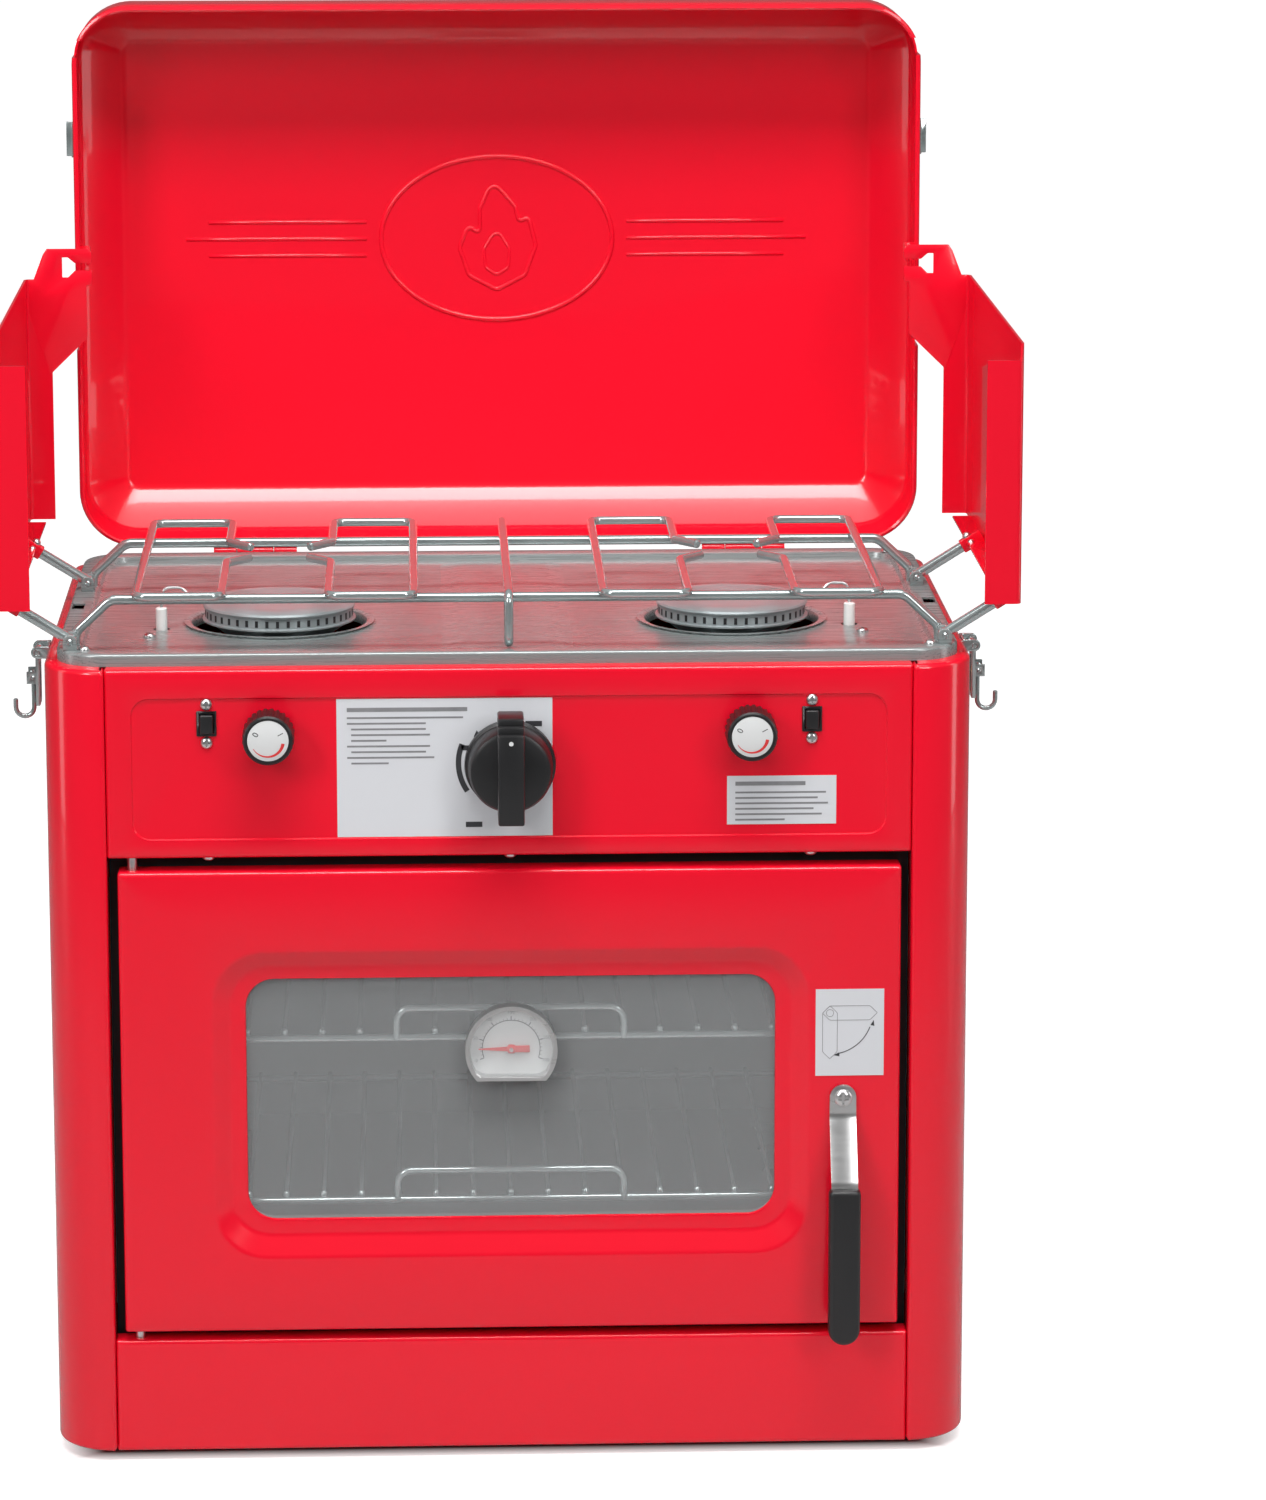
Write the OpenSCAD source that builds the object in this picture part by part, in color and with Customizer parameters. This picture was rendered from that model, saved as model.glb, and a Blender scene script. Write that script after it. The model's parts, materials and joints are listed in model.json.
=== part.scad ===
// Two-burner camp stove with an oven below the hob.
// Frame: +X to the right, +Y to the back, +Z up, the feet stand on z = 0, and the
// middle of the whole stove's width and depth, lid open, is on X = 0 and Y = 0.
// The lid stands open and the oven door is closed.

/* [Cabinet] */
// Width of the cabinet
body_w = 450; // [440:1:480]
// Depth of the cabinet, front to back
body_d = 290; // [286:1:310]
// Height of the casing above the feet
body_h = 393; // [390:1:420]
// Radius of the two front corner columns
corner_r = 30; // [26:1:32]
// Thickness of the painted sheet
sheet_t = 1.2; // [1:0.1:1.5]
// Height of the rubber feet
foot_h = 5; // [3:1:12]

/* [Hob] */
// Width of the steel hob
hob_w = 438; // [434:1:440]
// Depth of the steel hob
hob_d = 276; // [270:1:276]
// Distance between the two burner centres
burner_gap = 226; // [220:1:232]
// Radius of a burner's cap
burner_r = 38; // [34:0.5:39]
// Thickness of the grate wire
wire_d = 5; // [4:0.5:5]

/* [Lid] */
// Width of the lid
lid_w = 445; // [444:0.5:446]
// Length of the lid from its hinge edge to its front edge
lid_l = 286; // [282:1:288]
// Depth of the lid's tray
lid_h = 58; // [57:1:62]

/* [Door] */
// Width of the oven door
door_w = 380; // [376:1:381]
// Height of the oven door
door_h = 232; // [226:1:233]
// Width of the window's clear glass
window_w = 258; // [240:1:262]
// Height of the window's clear glass
window_h = 119; // [100:1:122]

/* [Controls] */
// Diameter of a burner knob
knob_d = 25; // [22:0.5:28]
// Diameter of the oven knob
oven_knob_d = 41; // [36:0.5:44]
// Distance from the middle to a burner knob
knob_x = 116; // [110:1:120]

/* [Hidden] */
// The parts are drawn with the cabinet's middle on Y = 0, and this moves the whole
// stove's middle there, handle and open lid included
box_shift = -11.5;

$fn = 48;
RED = "crimson";
STEEL = "silver";
BLACK = [0.08, 0.08, 0.08];
BRASS = "goldenrod";

eps = 0.1;
front_y = -body_d / 2;
back_y = body_d / 2;
top_z = foot_h + body_h;
back_corner_r = 12;
front_half = body_w / 2 - corner_r;       // half the opening between the columns
return_d = 13;                            // depth of the flange behind each column
flange_w = 12;                            // width of the casing's top and bottom flanges

hob_y = 3;                                // the hob sits a little behind the middle
hob_top = top_z + 6;
hob_floor = hob_top - 4;                  // top of the sunk floor
hob_corner_r = 24;
hob_rim = 12;
hob_t = 1;
burner_y = -36;
burner_hole_r = burner_r + 3;

rail_z = hob_floor + 26;
rail_front_y = -109;
rail_back_y = 46;
support_r = wire_d / 2 - 0.25;
weld_gap = 0.02;                          // between wires that are welded to each other
support_z = rail_z + wire_d / 2 + support_r + weld_gap;
support_outer = 67;                       // from a burner's centre to the long wires
support_inner = 26;                       // and to the fingers
support_front_y = -128;
support_back_y = 77;

stay_x = 212;                             // the wind shields turn on lines at this x
stay_z = hob_top + 4;
stay_ys = [-118, 36];
stay_r = 2.7;
stay_pin_r = 1.5;
running = 0.05;                           // radial clearance of a pin in its hole
shield_x = body_w / 2 + 23;
shield_z0 = stay_z + 17;
shield_z1 = shield_z0 + 132;
shield_y0 = -132.5;                        // in front of the grate, so that the flange clears it
shield_y1 = 126;
shield_front = 17.8;                      // width of the flange at the front
shield_back = 14;                         // and at the back
shield_ledge = 10;
bracket_z1 = shield_z1 + 11;
bracket_z0 = shield_z1 - 45;
bracket_in = lid_w / 2 + 1.6;             // the bracket ends just outside the lid

lid_rim_y = 146;                          // the rim's plane while the lid is open
lid_seat_z = top_z + 1;                   // the rim's plane while the lid is shut
hinge_y = 149.5;
hinge_z = lid_seat_z - lid_rim_y + hinge_y;
lid_low_z = hinge_z + hinge_y - lid_rim_y;
lid_corner_r = 30;
lid_wall_h = 42;
lid_slope = 18;
lid_tab_at = 156;                         // from the hinge edge to the tabs' middle
lid_tab_x = 214.5;
lid_tab_l = 13;
hinge_x = 130;
keeper_at = 216;

door_z0 = 66.5;
door_z1 = door_z0 + door_h;
door_y = front_y - 1;
door_t = 14;
door_axis = [-183, front_y + 7];
pin_r = 2.5;
recess_w = window_w + 31;
recess_h = window_h + 33;
window_z = 183;
recess_d = 5;
glass_t = 3;
glass_y = door_y + recess_d + sheet_t;

gauge_z = 208;
gauge_r = 22.5;
gauge_cut = 15;
gauge_d = 8;
gauge_wall = 1.8;

handle_x = 162;
handle_z = 183;
handle_len = 120;
handle_w = 13;
handle_off = 17;                          // from the door to the grip's middle

knob_z = 367;
oven_knob_z = 351;
knob_l = 18;
knob_gap = 4;
grip_w = 12.6;                            // width of the oven knob's bar
stem_r = 3;
panel_z0 = 305;
panel_y = front_y + 1;
emboss_w = 365;
emboss_h = 70;
emboss_z = 349;
emboss_d = 1;
button_x = 146;
button_z = 371.5;
button_w = 6.4;
button_h = 9;
button_travel = 3;

oven_w = 336;
oven_z0 = 76;
oven_z1 = 292;
oven_y0 = -127;
oven_y1 = 118;
oven_t = 1;
rack_w = 318;
rack_d = 222;
rack_y0 = -116;
rack_zs = [122, 205];
rack_r = 2;
rack_bar_r = 1.3;
rack_handle_x = 56;                       // half the width of a rack's handle
rack_bars = 8;                            // bars on each side of the middle one
rack_pitch = 18.5;

manifold_y = -108;
manifold_z = 340;
manifold_r = 4;
oven_pipe_y = manifold_y;
oven_pipe_r = 2.5;
oven_pipe_x = 176;
burner_z = oven_z0 + 13;
inlet_y = 100;
inlet_r = 6.6;
inlet_l = 15;
valve_y0 = front_y + 4;

latch_y = -70;
latch_x = body_w / 2;
latch_pin = [latch_x + 6, top_z - 4];     // x and z of the lever's pin
hook_pin = [latch_x + 8.5, top_z - 17];   // x and z of the hook's pin
hook_r = 1.2;

// ---------- shared shapes ----------

module round_rect(w, h, r) {
    square([w - 2 * r, h], center = true);
    square([w, h - 2 * r], center = true);
    for (sx = [-1, 1], sy = [-1, 1])
        translate([sx * (w / 2 - r), sy * (h / 2 - r)]) circle(r);
}

// Cabinet outline with big front corners and small back corners, drawn inset all round
module cabinet_outline(inset) {
    w = body_w - 2 * inset;
    d = body_d - 2 * inset;
    rf = corner_r - inset;
    rb = max(back_corner_r - inset, 1);
    translate([-w / 2 + rf, -d / 2]) square([w - 2 * rf, rf + eps]);
    translate([-w / 2, -d / 2 + rf]) square([w, d - rf - rb]);
    translate([-w / 2 + rb, d / 2 - rb - eps]) square([w - 2 * rb, rb + eps]);
    for (s = [-1, 1]) {
        translate([s * (w / 2 - rf), -d / 2 + rf]) circle(rf);
        translate([s * (w / 2 - rb), d / 2 - rb]) circle(rb);
    }
}

// A plate in the XZ plane whose front face is at y, going back by t
module upright(y, t) translate([0, y + t, 0]) rotate([90, 0, 0]) linear_extrude(t) children();

// Round bar from a to b
module bar(a, b, r) {
    v = b - a;
    len_xy = norm([v[0], v[1]]);
    translate(a) rotate([0, atan2(len_xy, v[2]), atan2(v[1], v[0])]) cylinder(h = norm(v), r = r, $fn = 24);
}

function unit(v) = v / norm(v);

// Whether the corner b between a and c is a right angle
function is_square(a, b, c) = abs(unit(b - a) * unit(c - b)) < 0.001;

// The quarter ring of wire that rounds off the square corner b between a and c
module wire_bend(a, b, c, r, turn) {
    x = -unit(c - b);
    y = unit(b - a);
    z = cross(x, y);
    centre = b - turn * y - turn * x;
    multmatrix([[x[0], y[0], z[0], centre[0]], [x[1], y[1], z[1], centre[1]],
        [x[2], y[2], z[2], centre[2]], [0, 0, 0, 1]])
        rotate_extrude(angle = 90) translate([turn, 0]) circle(r, $fn = 24);
}

// Round wire along a list of points: square corners are bent with radius turn, others have a ball
module wire(points, r, turn) {
    last = len(points) - 1;
    cut = [for (i = [0 : last]) i == 0 || i == last ? 0
        : is_square(points[i - 1], points[i], points[i + 1]) ? turn : 0];
    for (i = [1 : last]) {
        along = unit(points[i] - points[i - 1]);
        bar(points[i - 1] + cut[i - 1] * along, points[i] - cut[i] * along, r);
    }
    for (i = [1 : last - 1])
        if (cut[i] > 0) wire_bend(points[i - 1], points[i], points[i + 1], r, turn);
        else translate(points[i]) sphere(r * 1.1, $fn = 32);
}

// Children drawn in place and mirrored to the other side
module placed() translate([0, box_shift, 0]) children();

module both_sides() {
    children();
    mirror([1, 0, 0]) children();
}

module y_pin(x, y0, z, l, r) translate([x, y0, z]) rotate([-90, 0, 0]) cylinder(h = l, r = r);

module x_pin(x0, y, z, l, r) translate([x0, y, z]) rotate([0, 90, 0]) cylinder(h = l, r = r);

// Pan head with a crossed recess, its underside at the origin and its top towards +Z
module screw_head(r) difference() {
    union() {
        cylinder(h = r * 0.35, r = r);
        translate([0, 0, r * 0.35]) cylinder(h = r * 0.25, r1 = r, r2 = r * 0.7);
    }
    for (a = [0, 90]) rotate(a) translate([-r * 0.5, -r * 0.11, r * 0.3]) cube([r, r * 0.22, r]);
}

// ---------- cabinet ----------

module casing() color(RED) placed() difference() {
    union() {
        translate([0, 0, foot_h]) linear_extrude(body_h) difference() {
            cabinet_outline(0);
            cabinet_outline(sheet_t);
            translate([-front_half, front_y - 1]) square([2 * front_half, 10]);
        }
        both_sides() translate([front_half, front_y, foot_h]) cube([sheet_t, return_d, body_h]);
        for (z = [foot_h, top_z - sheet_t]) translate([0, 0, z]) linear_extrude(sheet_t) difference() {
            cabinet_outline(0.3);
            cabinet_outline(flange_w);
            translate([-front_half, front_y - 1]) square([2 * front_half, 20]);
        }
    }
    for (i = [0 : 8], s = [-1, 1])
        translate([s * 110 - 30, back_y - 5, 120 + i * 22]) cube([60, 10, 5]);
    x_pin(latch_x - 10, inlet_y, manifold_z, 20, inlet_r + 0.6);
    both_sides() translate([lid_tab_x - 3, lid_rim_y - lid_tab_at - 7, top_z - 5]) cube([6, 14, 10]);
}

module base_pan() color(RED) placed() translate([0, 0, foot_h + sheet_t]) linear_extrude(sheet_t)
    difference() {
        cabinet_outline(sheet_t);
        translate([-front_half - sheet_t, front_y]) square([2 * front_half + 2 * sheet_t, return_d + 1]);
        for (x = [-120 : 40 : 120]) translate([x, 0]) round_rect(20, 120, 9);
    }

module rubber_feet() color(BLACK) placed() for (sx = [-1, 1], sy = [-1, 1])
    translate([sx * 178, sy * 118, 0]) difference() {
        cylinder(h = foot_h + sheet_t, r1 = 10, r2 = 12);
        translate([0, 0, -1]) cylinder(h = 3, r = 4);
    }

module kick_panel() color(RED) placed() {
    z1 = door_z0 - 4.5;
    translate([-front_half, front_y + 0.8, foot_h]) cube([2 * front_half, sheet_t, z1 - foot_h]);
    translate([-front_half, front_y + 0.8, z1 - sheet_t]) cube([2 * front_half, return_d, sheet_t]);
}

module control_panel() color(RED) placed() difference() {
    union() {
        upright(panel_y, sheet_t) difference() {
            translate([-front_half, panel_z0]) square([2 * front_half, top_z - panel_z0]);
            translate([0, emboss_z]) round_rect(emboss_w, emboss_h, 9);
        }
        upright(panel_y + emboss_d, sheet_t) translate([0, emboss_z])
            round_rect(emboss_w + 2, emboss_h + 2, 10);
        for (z = [panel_z0, top_z - sheet_t])
            translate([-front_half, panel_y, z]) cube([2 * front_half, return_d - 1, sheet_t]);
    }
    for (x = [-knob_x, knob_x]) y_pin(x, front_y - 1, knob_z, 10, stem_r + 2);
    y_pin(0, front_y - 1, oven_knob_z, 10, stem_r + 3);
    both_sides() translate([button_x - button_w / 2 - 0.3, front_y - 1, button_z - button_h / 2 - 0.3])
        cube([button_w + 0.6, 10, button_h + 0.6]);
    translate([door_axis[0], door_axis[1], panel_z0 - 1]) cylinder(h = 5, r = pin_r);
}

module panel_screws() color(STEEL) placed() {
    both_sides() for (dz = [-9.4, 9.4])
        translate([button_x, panel_y + emboss_d, button_z + dz]) rotate([90, 0, 0]) screw_head(2.9);
    for (x = [0, 146]) translate([x, panel_y + 6, panel_z0]) rotate([180, 0, 0]) screw_head(3.2);
}

// ---------- hob ----------

module hob_pan() color(STEEL) placed() difference() {
    union() {
        translate([0, hob_y, 0]) {
            translate([0, 0, top_z]) linear_extrude(hob_top - top_z) difference() {
                round_rect(hob_w, hob_d, hob_corner_r);
                round_rect(hob_w - 2 * hob_t, hob_d - 2 * hob_t, hob_corner_r - hob_t);
            }
            translate([0, 0, hob_top - hob_t]) linear_extrude(hob_t) difference() {
                round_rect(hob_w - 1, hob_d - 1, hob_corner_r - 0.5);
                round_rect(hob_w - 2 * hob_rim, hob_d - 2 * hob_rim, hob_corner_r - hob_rim);
            }
            translate([0, 0, hob_floor - hob_t]) linear_extrude(hob_top - hob_floor + hob_t) difference() {
                round_rect(hob_w - 2 * hob_rim + 2, hob_d - 2 * hob_rim + 2, hob_corner_r - hob_rim + 1);
                round_rect(hob_w - 2 * hob_rim, hob_d - 2 * hob_rim, hob_corner_r - hob_rim);
            }
            translate([0, 0, hob_floor - hob_t]) linear_extrude(hob_t)
                round_rect(hob_w - 2 * hob_rim + 1, hob_d - 2 * hob_rim + 1, hob_corner_r - hob_rim + 0.5);
        }
        both_sides() translate([burner_gap / 2, burner_y, hob_floor - hob_t]) rotate_extrude($fn = 96)
            polygon([[burner_hole_r - 2, -4], [burner_hole_r + 6, 0.5], [burner_hole_r + 6, 1.5],
                [burner_hole_r + 3, 3], [burner_hole_r + 1, 3], [burner_hole_r - 2, -3]]);
    }
    both_sides() {
        translate([burner_gap / 2, burner_y, hob_floor - 8]) cylinder(h = 20, r = burner_hole_r, $fn = 96);
        translate([lid_tab_x - 3, lid_rim_y - lid_tab_at - 7, top_z - 5]) cube([6, 14, 20]);
        translate([171, burner_y - 15, hob_floor - 5]) cylinder(h = 10, r = 3);
    }
}

module hob_screws() color(STEEL) placed() {
    both_sides() for (p = [[205, -122], [176, -70], [205, 128]])
        translate([p[0], p[1], abs(p[0]) > hob_w / 2 - hob_rim - 3 ? hob_top : hob_floor]) screw_head(3);
}

// One wire of a pot support, from its rear finger round the outside to its front finger
module support_wire(side) {
    x0 = side * support_outer;
    x1 = side * support_inner;
    tip = side * (support_inner - 12);
    wire([[tip, burner_y + 34, support_z], [x1, burner_y + 34, support_z], [x1, support_back_y, support_z],
        [x0, support_back_y, support_z], [x0, support_front_y, support_z],
        [x1, support_front_y, support_z], [x1, burner_y - 16, support_z],
        [tip, burner_y - 16, support_z]], support_r, 5);
}

module rail(y) {
    end_x = stay_x - 2;
    wire([[-end_x, y, hob_top], [-end_x, y, hob_top + 5], [-stay_x + 19, y, rail_z],
        [stay_x - 19, y, rail_z], [end_x, y, hob_top + 5], [end_x, y, hob_top]], wire_d / 2, 6);
}

module pot_grate() color(STEEL) placed() {
    for (y = [rail_front_y, rail_back_y]) rail(y);
    for (x = [-burner_gap / 2, burner_gap / 2], side = [-1, 1])
        translate([x, 0, 0]) support_wire(side);
    foot_z = hob_top + support_r;
    wire([[0, support_back_y, support_z], [0, support_front_y, support_z], [0, support_front_y, foot_z],
        [0, support_front_y + 10, foot_z], [0, support_front_y + 10, support_z - 4]], support_r, 4);
}

// Two ears that hold a stay's pin, with the grate's foot beside them
module hob_clips() color(STEEL) placed() both_sides() for (y = stay_ys) {
    difference() {
        for (dy = [-6.2, 4.2]) {
            y_pin(stay_x, y + dy, stay_z, 2, 3.4);
            translate([stay_x - 3.4, y + dy, hob_top]) cube([6.8, 2, stay_z - hob_top]);
        }
        y_pin(stay_x, y - 10, stay_z, 20, stay_pin_r + running);
    }
}

module burner_bowls() color(STEEL) placed() both_sides()
    translate([burner_gap / 2, burner_y, 0]) rotate_extrude($fn = 96) polygon([
        [7, knob_z + 8], [12, knob_z + 8], [13, hob_floor - 9], [burner_r - 9, hob_floor - 2],
        [burner_r - 1, hob_floor + 1], [burner_r - 1, hob_floor + 9], [burner_r - 3, hob_floor + 9],
        [burner_r - 3, hob_floor + 3], [burner_r - 11, hob_floor], [10, hob_floor - 7], [7, hob_floor - 7]]);

module burner_caps() color(STEEL) placed() both_sides()
    translate([burner_gap / 2, burner_y, hob_floor + 9]) rotate_extrude($fn = 96) polygon([
        [0, -1], [burner_r - 3.2, -1], [burner_r - 3.2, 0], [burner_r, 0], [burner_r, 1.4],
        [burner_r - 4, 2.6], [burner_r - 14, 1.6], [0, 1.6]]);

// ---------- gas train ----------

module mixer_tubes() color(STEEL) placed() both_sides() {
    x = burner_gap / 2;
    difference() {
        union() {
            y_pin(x, -103, knob_z, burner_y + 110, 7);
            translate([x, burner_y, knob_z - 9]) cylinder(h = 17, r = 12);
        }
        y_pin(x, -110, knob_z, burner_y + 114, 5.6);
        translate([x, burner_y, knob_z - 7]) cylinder(h = 20, r = 7);
        for (a = [0, 180]) translate([x - 10, -98, knob_z - 2.5]) cube([20, 9, 5]);
    }
}

module valve_body(x, z, drop) difference() {
    union() {
        y_pin(x, valve_y0, z, 22, 8);
        y_pin(x, valve_y0 + 22, z, 12, 4.5);
        translate([x - 6, manifold_y - 9, manifold_z + manifold_r]) cube([12, 12, drop]);
    }
    y_pin(x, valve_y0 - 1, z, 16, stem_r + running);
}

module burner_valves() color(BRASS) placed() both_sides()
    valve_body(knob_x, knob_z, knob_z - manifold_z - manifold_r);

module oven_valve() color(BRASS) placed() {
    difference() {
        union() {
            y_pin(0, valve_y0, oven_knob_z, 24, 10);
            translate([-7, manifold_y - 9, manifold_z + manifold_r])
                cube([14, 12, oven_knob_z - manifold_z - manifold_r]);
        }
        y_pin(0, valve_y0 - 1, oven_knob_z, 17, stem_r + 1 + running);
    }
}

module gas_manifold() color(STEEL) placed() {
    end_x = latch_x - 26;
    wire([[-knob_x - 20, manifold_y, manifold_z], [end_x, manifold_y, manifold_z],
        [end_x, inlet_y, manifold_z], [latch_x - 9, inlet_y, manifold_z]], manifold_r, 12);
    wire([[-20, oven_pipe_y, manifold_z - manifold_r - weld_gap], [-20, oven_pipe_y, oven_z1 + 6],
        [-oven_pipe_x, oven_pipe_y, oven_z1 + 6], [-oven_pipe_x, oven_pipe_y, oven_z1]], oven_pipe_r, 6);
    bar([-oven_pipe_x, oven_pipe_y, burner_z + oven_pipe_r + weld_gap],
        [-oven_pipe_x, oven_pipe_y, oven_z1 - weld_gap], oven_pipe_r);
    wire([[-oven_pipe_x, oven_pipe_y - oven_pipe_r, burner_z], [-oven_pipe_x, manifold_y + 20, burner_z],
        [-130 - weld_gap, manifold_y + 20, burner_z]], oven_pipe_r, 6);
}

module gas_inlet() color(BRASS) placed() {
    x_pin(latch_x - 9, inlet_y, manifold_z, 9 - sheet_t, 10, $fn = 6);
    x_pin(latch_x - sheet_t - eps, inlet_y, manifold_z, sheet_t + 1 + 2 * eps, inlet_r - 0.8);
    x_pin(latch_x + 1, inlet_y, manifold_z, inlet_l, inlet_r);
}

module electrodes() color("white") placed() both_sides() translate([171, burner_y - 15, 0]) {
    translate([0, 0, hob_floor - 14]) cylinder(h = 25, r = 2.9);
    wire([[0, 0, hob_floor + 8], [0, 0, hob_floor + 21], [-10, 0, hob_floor + 21],
        [-18, 0, hob_floor + 13]], 0.9, 3);
}

module igniter_housings() color(BLACK) placed() both_sides() difference() {
    translate([button_x - 6, panel_y + emboss_d + sheet_t, button_z - 7]) cube([12, 26, 14]);
    translate([button_x - button_w / 2 - running, front_y, button_z - button_h / 2 - running])
        cube([button_w + 2 * running, 24, button_h + 2 * running]);
}

// ---------- oven ----------

module heat_shield() color(STEEL) placed() translate([-body_w / 2 + 12, -100, oven_z1 + 14])
    difference() {
        cube([body_w - 24, 232, 1]);
        for (x = [40 : 60 : 360]) translate([x, 180, -1]) cube([30, 20, 3]);
    }

module oven_liner() color(STEEL) placed() {
    h = oven_z1 - oven_z0;
    d = oven_y1 - oven_y0;
    difference() {
        translate([-oven_w / 2, oven_y0, oven_z0]) cube([oven_w, d, h]);
        translate([-oven_w / 2 + oven_t, oven_y0 - 1, oven_z0 + oven_t])
            cube([oven_w - 2 * oven_t, d - oven_t + 1, h - 2 * oven_t]);
        for (x = [-60 : 30 : 60]) translate([x - 8, oven_y1 - 5, oven_z1 - 18]) cube([16, 10, 6]);
        x_pin(-oven_w / 2 - 1, manifold_y + 20, burner_z, 3, oven_pipe_r + 0.2);
    }
    for (z = rack_zs) both_sides()
        translate([oven_w / 2 - oven_t - 8, rack_y0, z - rack_r - 1]) cube([8 + eps, rack_d, 1]);
    both_sides() translate([oven_w / 2 - eps, oven_y0, oven_z0])
        cube([front_half - oven_w / 2, 1, h]);
}

module oven_baffle() color(STEEL) placed() translate([0, (oven_y0 + oven_y1) / 2, oven_z0 + 26])
    linear_extrude(1) difference() {
        square([oven_w - 2 * oven_t - 1, oven_y1 - oven_y0 - 12], center = true);
        for (x = [-140, 140], y = [-80 : 40 : 80]) translate([x, y]) circle(8);
    }

module oven_burner() color(STEEL) placed() {
    y0 = manifold_y + 20;
    wire([[0, y0, burner_z], [120, y0, burner_z], [120, 70, burner_z], [-120, 70, burner_z],
        [-120, y0, burner_z], [0, y0, burner_z]], 6, 12);
    x_pin(-130, y0, burner_z, 16, 4);
    both_sides() for (y = [-60, 40]) translate([112, y, oven_z0 + oven_t]) cube([16, 8, 8]);
}

module thermocouple() color(BRASS) placed() {
    bar([-20, -40, oven_z0 + 21], [-20, 60, oven_z0 + 21], 1.2);
    translate([-24, -2, oven_z0 + oven_t]) cube([8, 2, 20]);
}

// A frame wire, a raised wire in its front gap as a handle, and thin bars welded across the top
module oven_rack(z) color(STEEL) placed() {
    y1 = rack_y0 + rack_d;
    zr = z + rack_r;
    x1 = rack_w / 2;
    x0 = rack_handle_x + rack_r + weld_gap;
    wire([[x0, rack_y0, zr], [x1, rack_y0, zr], [x1, y1, zr], [-x1, y1, zr], [-x1, rack_y0, zr],
        [-x0, rack_y0, zr]], rack_r, 6);
    wire([[-rack_handle_x, rack_y0, z], [-rack_handle_x, rack_y0, zr + 15],
        [rack_handle_x, rack_y0, zr + 15], [rack_handle_x, rack_y0, z]], rack_r, 6);
    for (i = [-rack_bars : rack_bars]) bar([i * rack_pitch, rack_y0 + 3, zr + rack_r + rack_bar_r + weld_gap],
        [i * rack_pitch, y1, zr + rack_r + rack_bar_r + weld_gap], rack_bar_r);
}

module upper_rack() oven_rack(rack_zs[1]);

module lower_rack() oven_rack(rack_zs[0]);

module door_pins() color(STEEL) placed() {
    translate([door_axis[0], door_axis[1], 0]) {
        translate([0, 0, door_z1 - 7]) cylinder(h = panel_z0 + sheet_t - door_z1 + 7, r = pin_r);
        translate([0, 0, door_z0 - 4.5]) cylinder(h = 12, r = pin_r);
    }
}

// ---------- lid hinge ----------

module hinge_leaves() color(RED) placed() both_sides() translate([hinge_x, 0, 0]) {
    for (x = [-22, 10]) difference() {
        union() {
            x_pin(x, hinge_y, hinge_z, 12, 3);
            translate([x, back_y + 1.4, top_z]) cube([12, 1.8, hinge_z - top_z]);
        }
        x_pin(x - 1, hinge_y, hinge_z, 14, 1.5);
    }
    translate([-22, back_y, top_z - 24]) cube([44, 3.2, 24]);
}

module hinge_pins() color(STEEL) placed() both_sides() x_pin(hinge_x - 22, hinge_y, hinge_z, 44, 1.5);

module lid_leaves() color(RED) placed() both_sides() translate([hinge_x, 0, 0]) difference() {
    union() {
        x_pin(-9.5, hinge_y, hinge_z, 19, 3);
        translate([-9.5, hinge_y, lid_low_z - 1.3]) cube([19, 20, 1.3]);
    }
    x_pin(-10.5, hinge_y, hinge_z, 21, 1.5 + running);
}

// ---------- lid ----------

// The lid's solid shape while shut, hinge edge at y = 0, drawn inset all round
module lid_form(inset) {
    w = lid_w - 2 * inset;
    l = lid_l - 2 * inset;
    translate([0, -lid_l / 2, 0]) {
        translate([0, 0, -inset]) linear_extrude(lid_wall_h + eps)
            round_rect(w, l, lid_corner_r - inset);
        hull() {
            translate([0, 0, lid_wall_h - inset]) linear_extrude(0.2)
                round_rect(w, l, lid_corner_r - inset, $fn = 32);
            translate([0, 0, lid_h - 8 - inset]) linear_extrude(0.2)
                round_rect(w - lid_slope, l - lid_slope, lid_corner_r - inset, $fn = 32);
            translate([0, 0, lid_h - inset - 0.2]) linear_extrude(0.2)
                round_rect(w - 2 * lid_slope - 8, l - 2 * lid_slope - 8, lid_corner_r - 8, $fn = 32);
        }
    }
}

// Turns what is drawn with the lid shut so that the lid stands open
module opened() translate([0, lid_rim_y, lid_low_z]) rotate([-90, 0, 0]) children();

module lid_shell() color(RED) placed() opened() difference() {
    lid_form(0);
    lid_form(sheet_t);
    for (y = stay_ys) translate([-lid_w, y - lid_rim_y - 4.5, -1]) cube([2 * lid_w, 9, 21.5]);
}

module lid_tabs() color(RED) placed() both_sides() opened() {
    translate([lid_tab_x, -lid_tab_at - 4, -lid_tab_l]) cube([1.5, 8, lid_tab_l + 6.6]);
    translate([lid_tab_x, -lid_tab_at - 4, 5.4]) cube([lid_w / 2 - sheet_t - lid_tab_x, 8, 1.2]);
}

module lid_keepers() color(STEEL) placed() both_sides() opened() {
    translate([lid_w / 2, -keeper_at - 9, 4]) cube([1, 18, 8]);
    translate([lid_w / 2, -keeper_at - 9, 11]) cube([4, 18, 1]);
    translate([lid_w / 2 + 3, -keeper_at - 9, 11]) cube([1, 18, 3]);
}

// ---------- wind shields ----------

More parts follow.
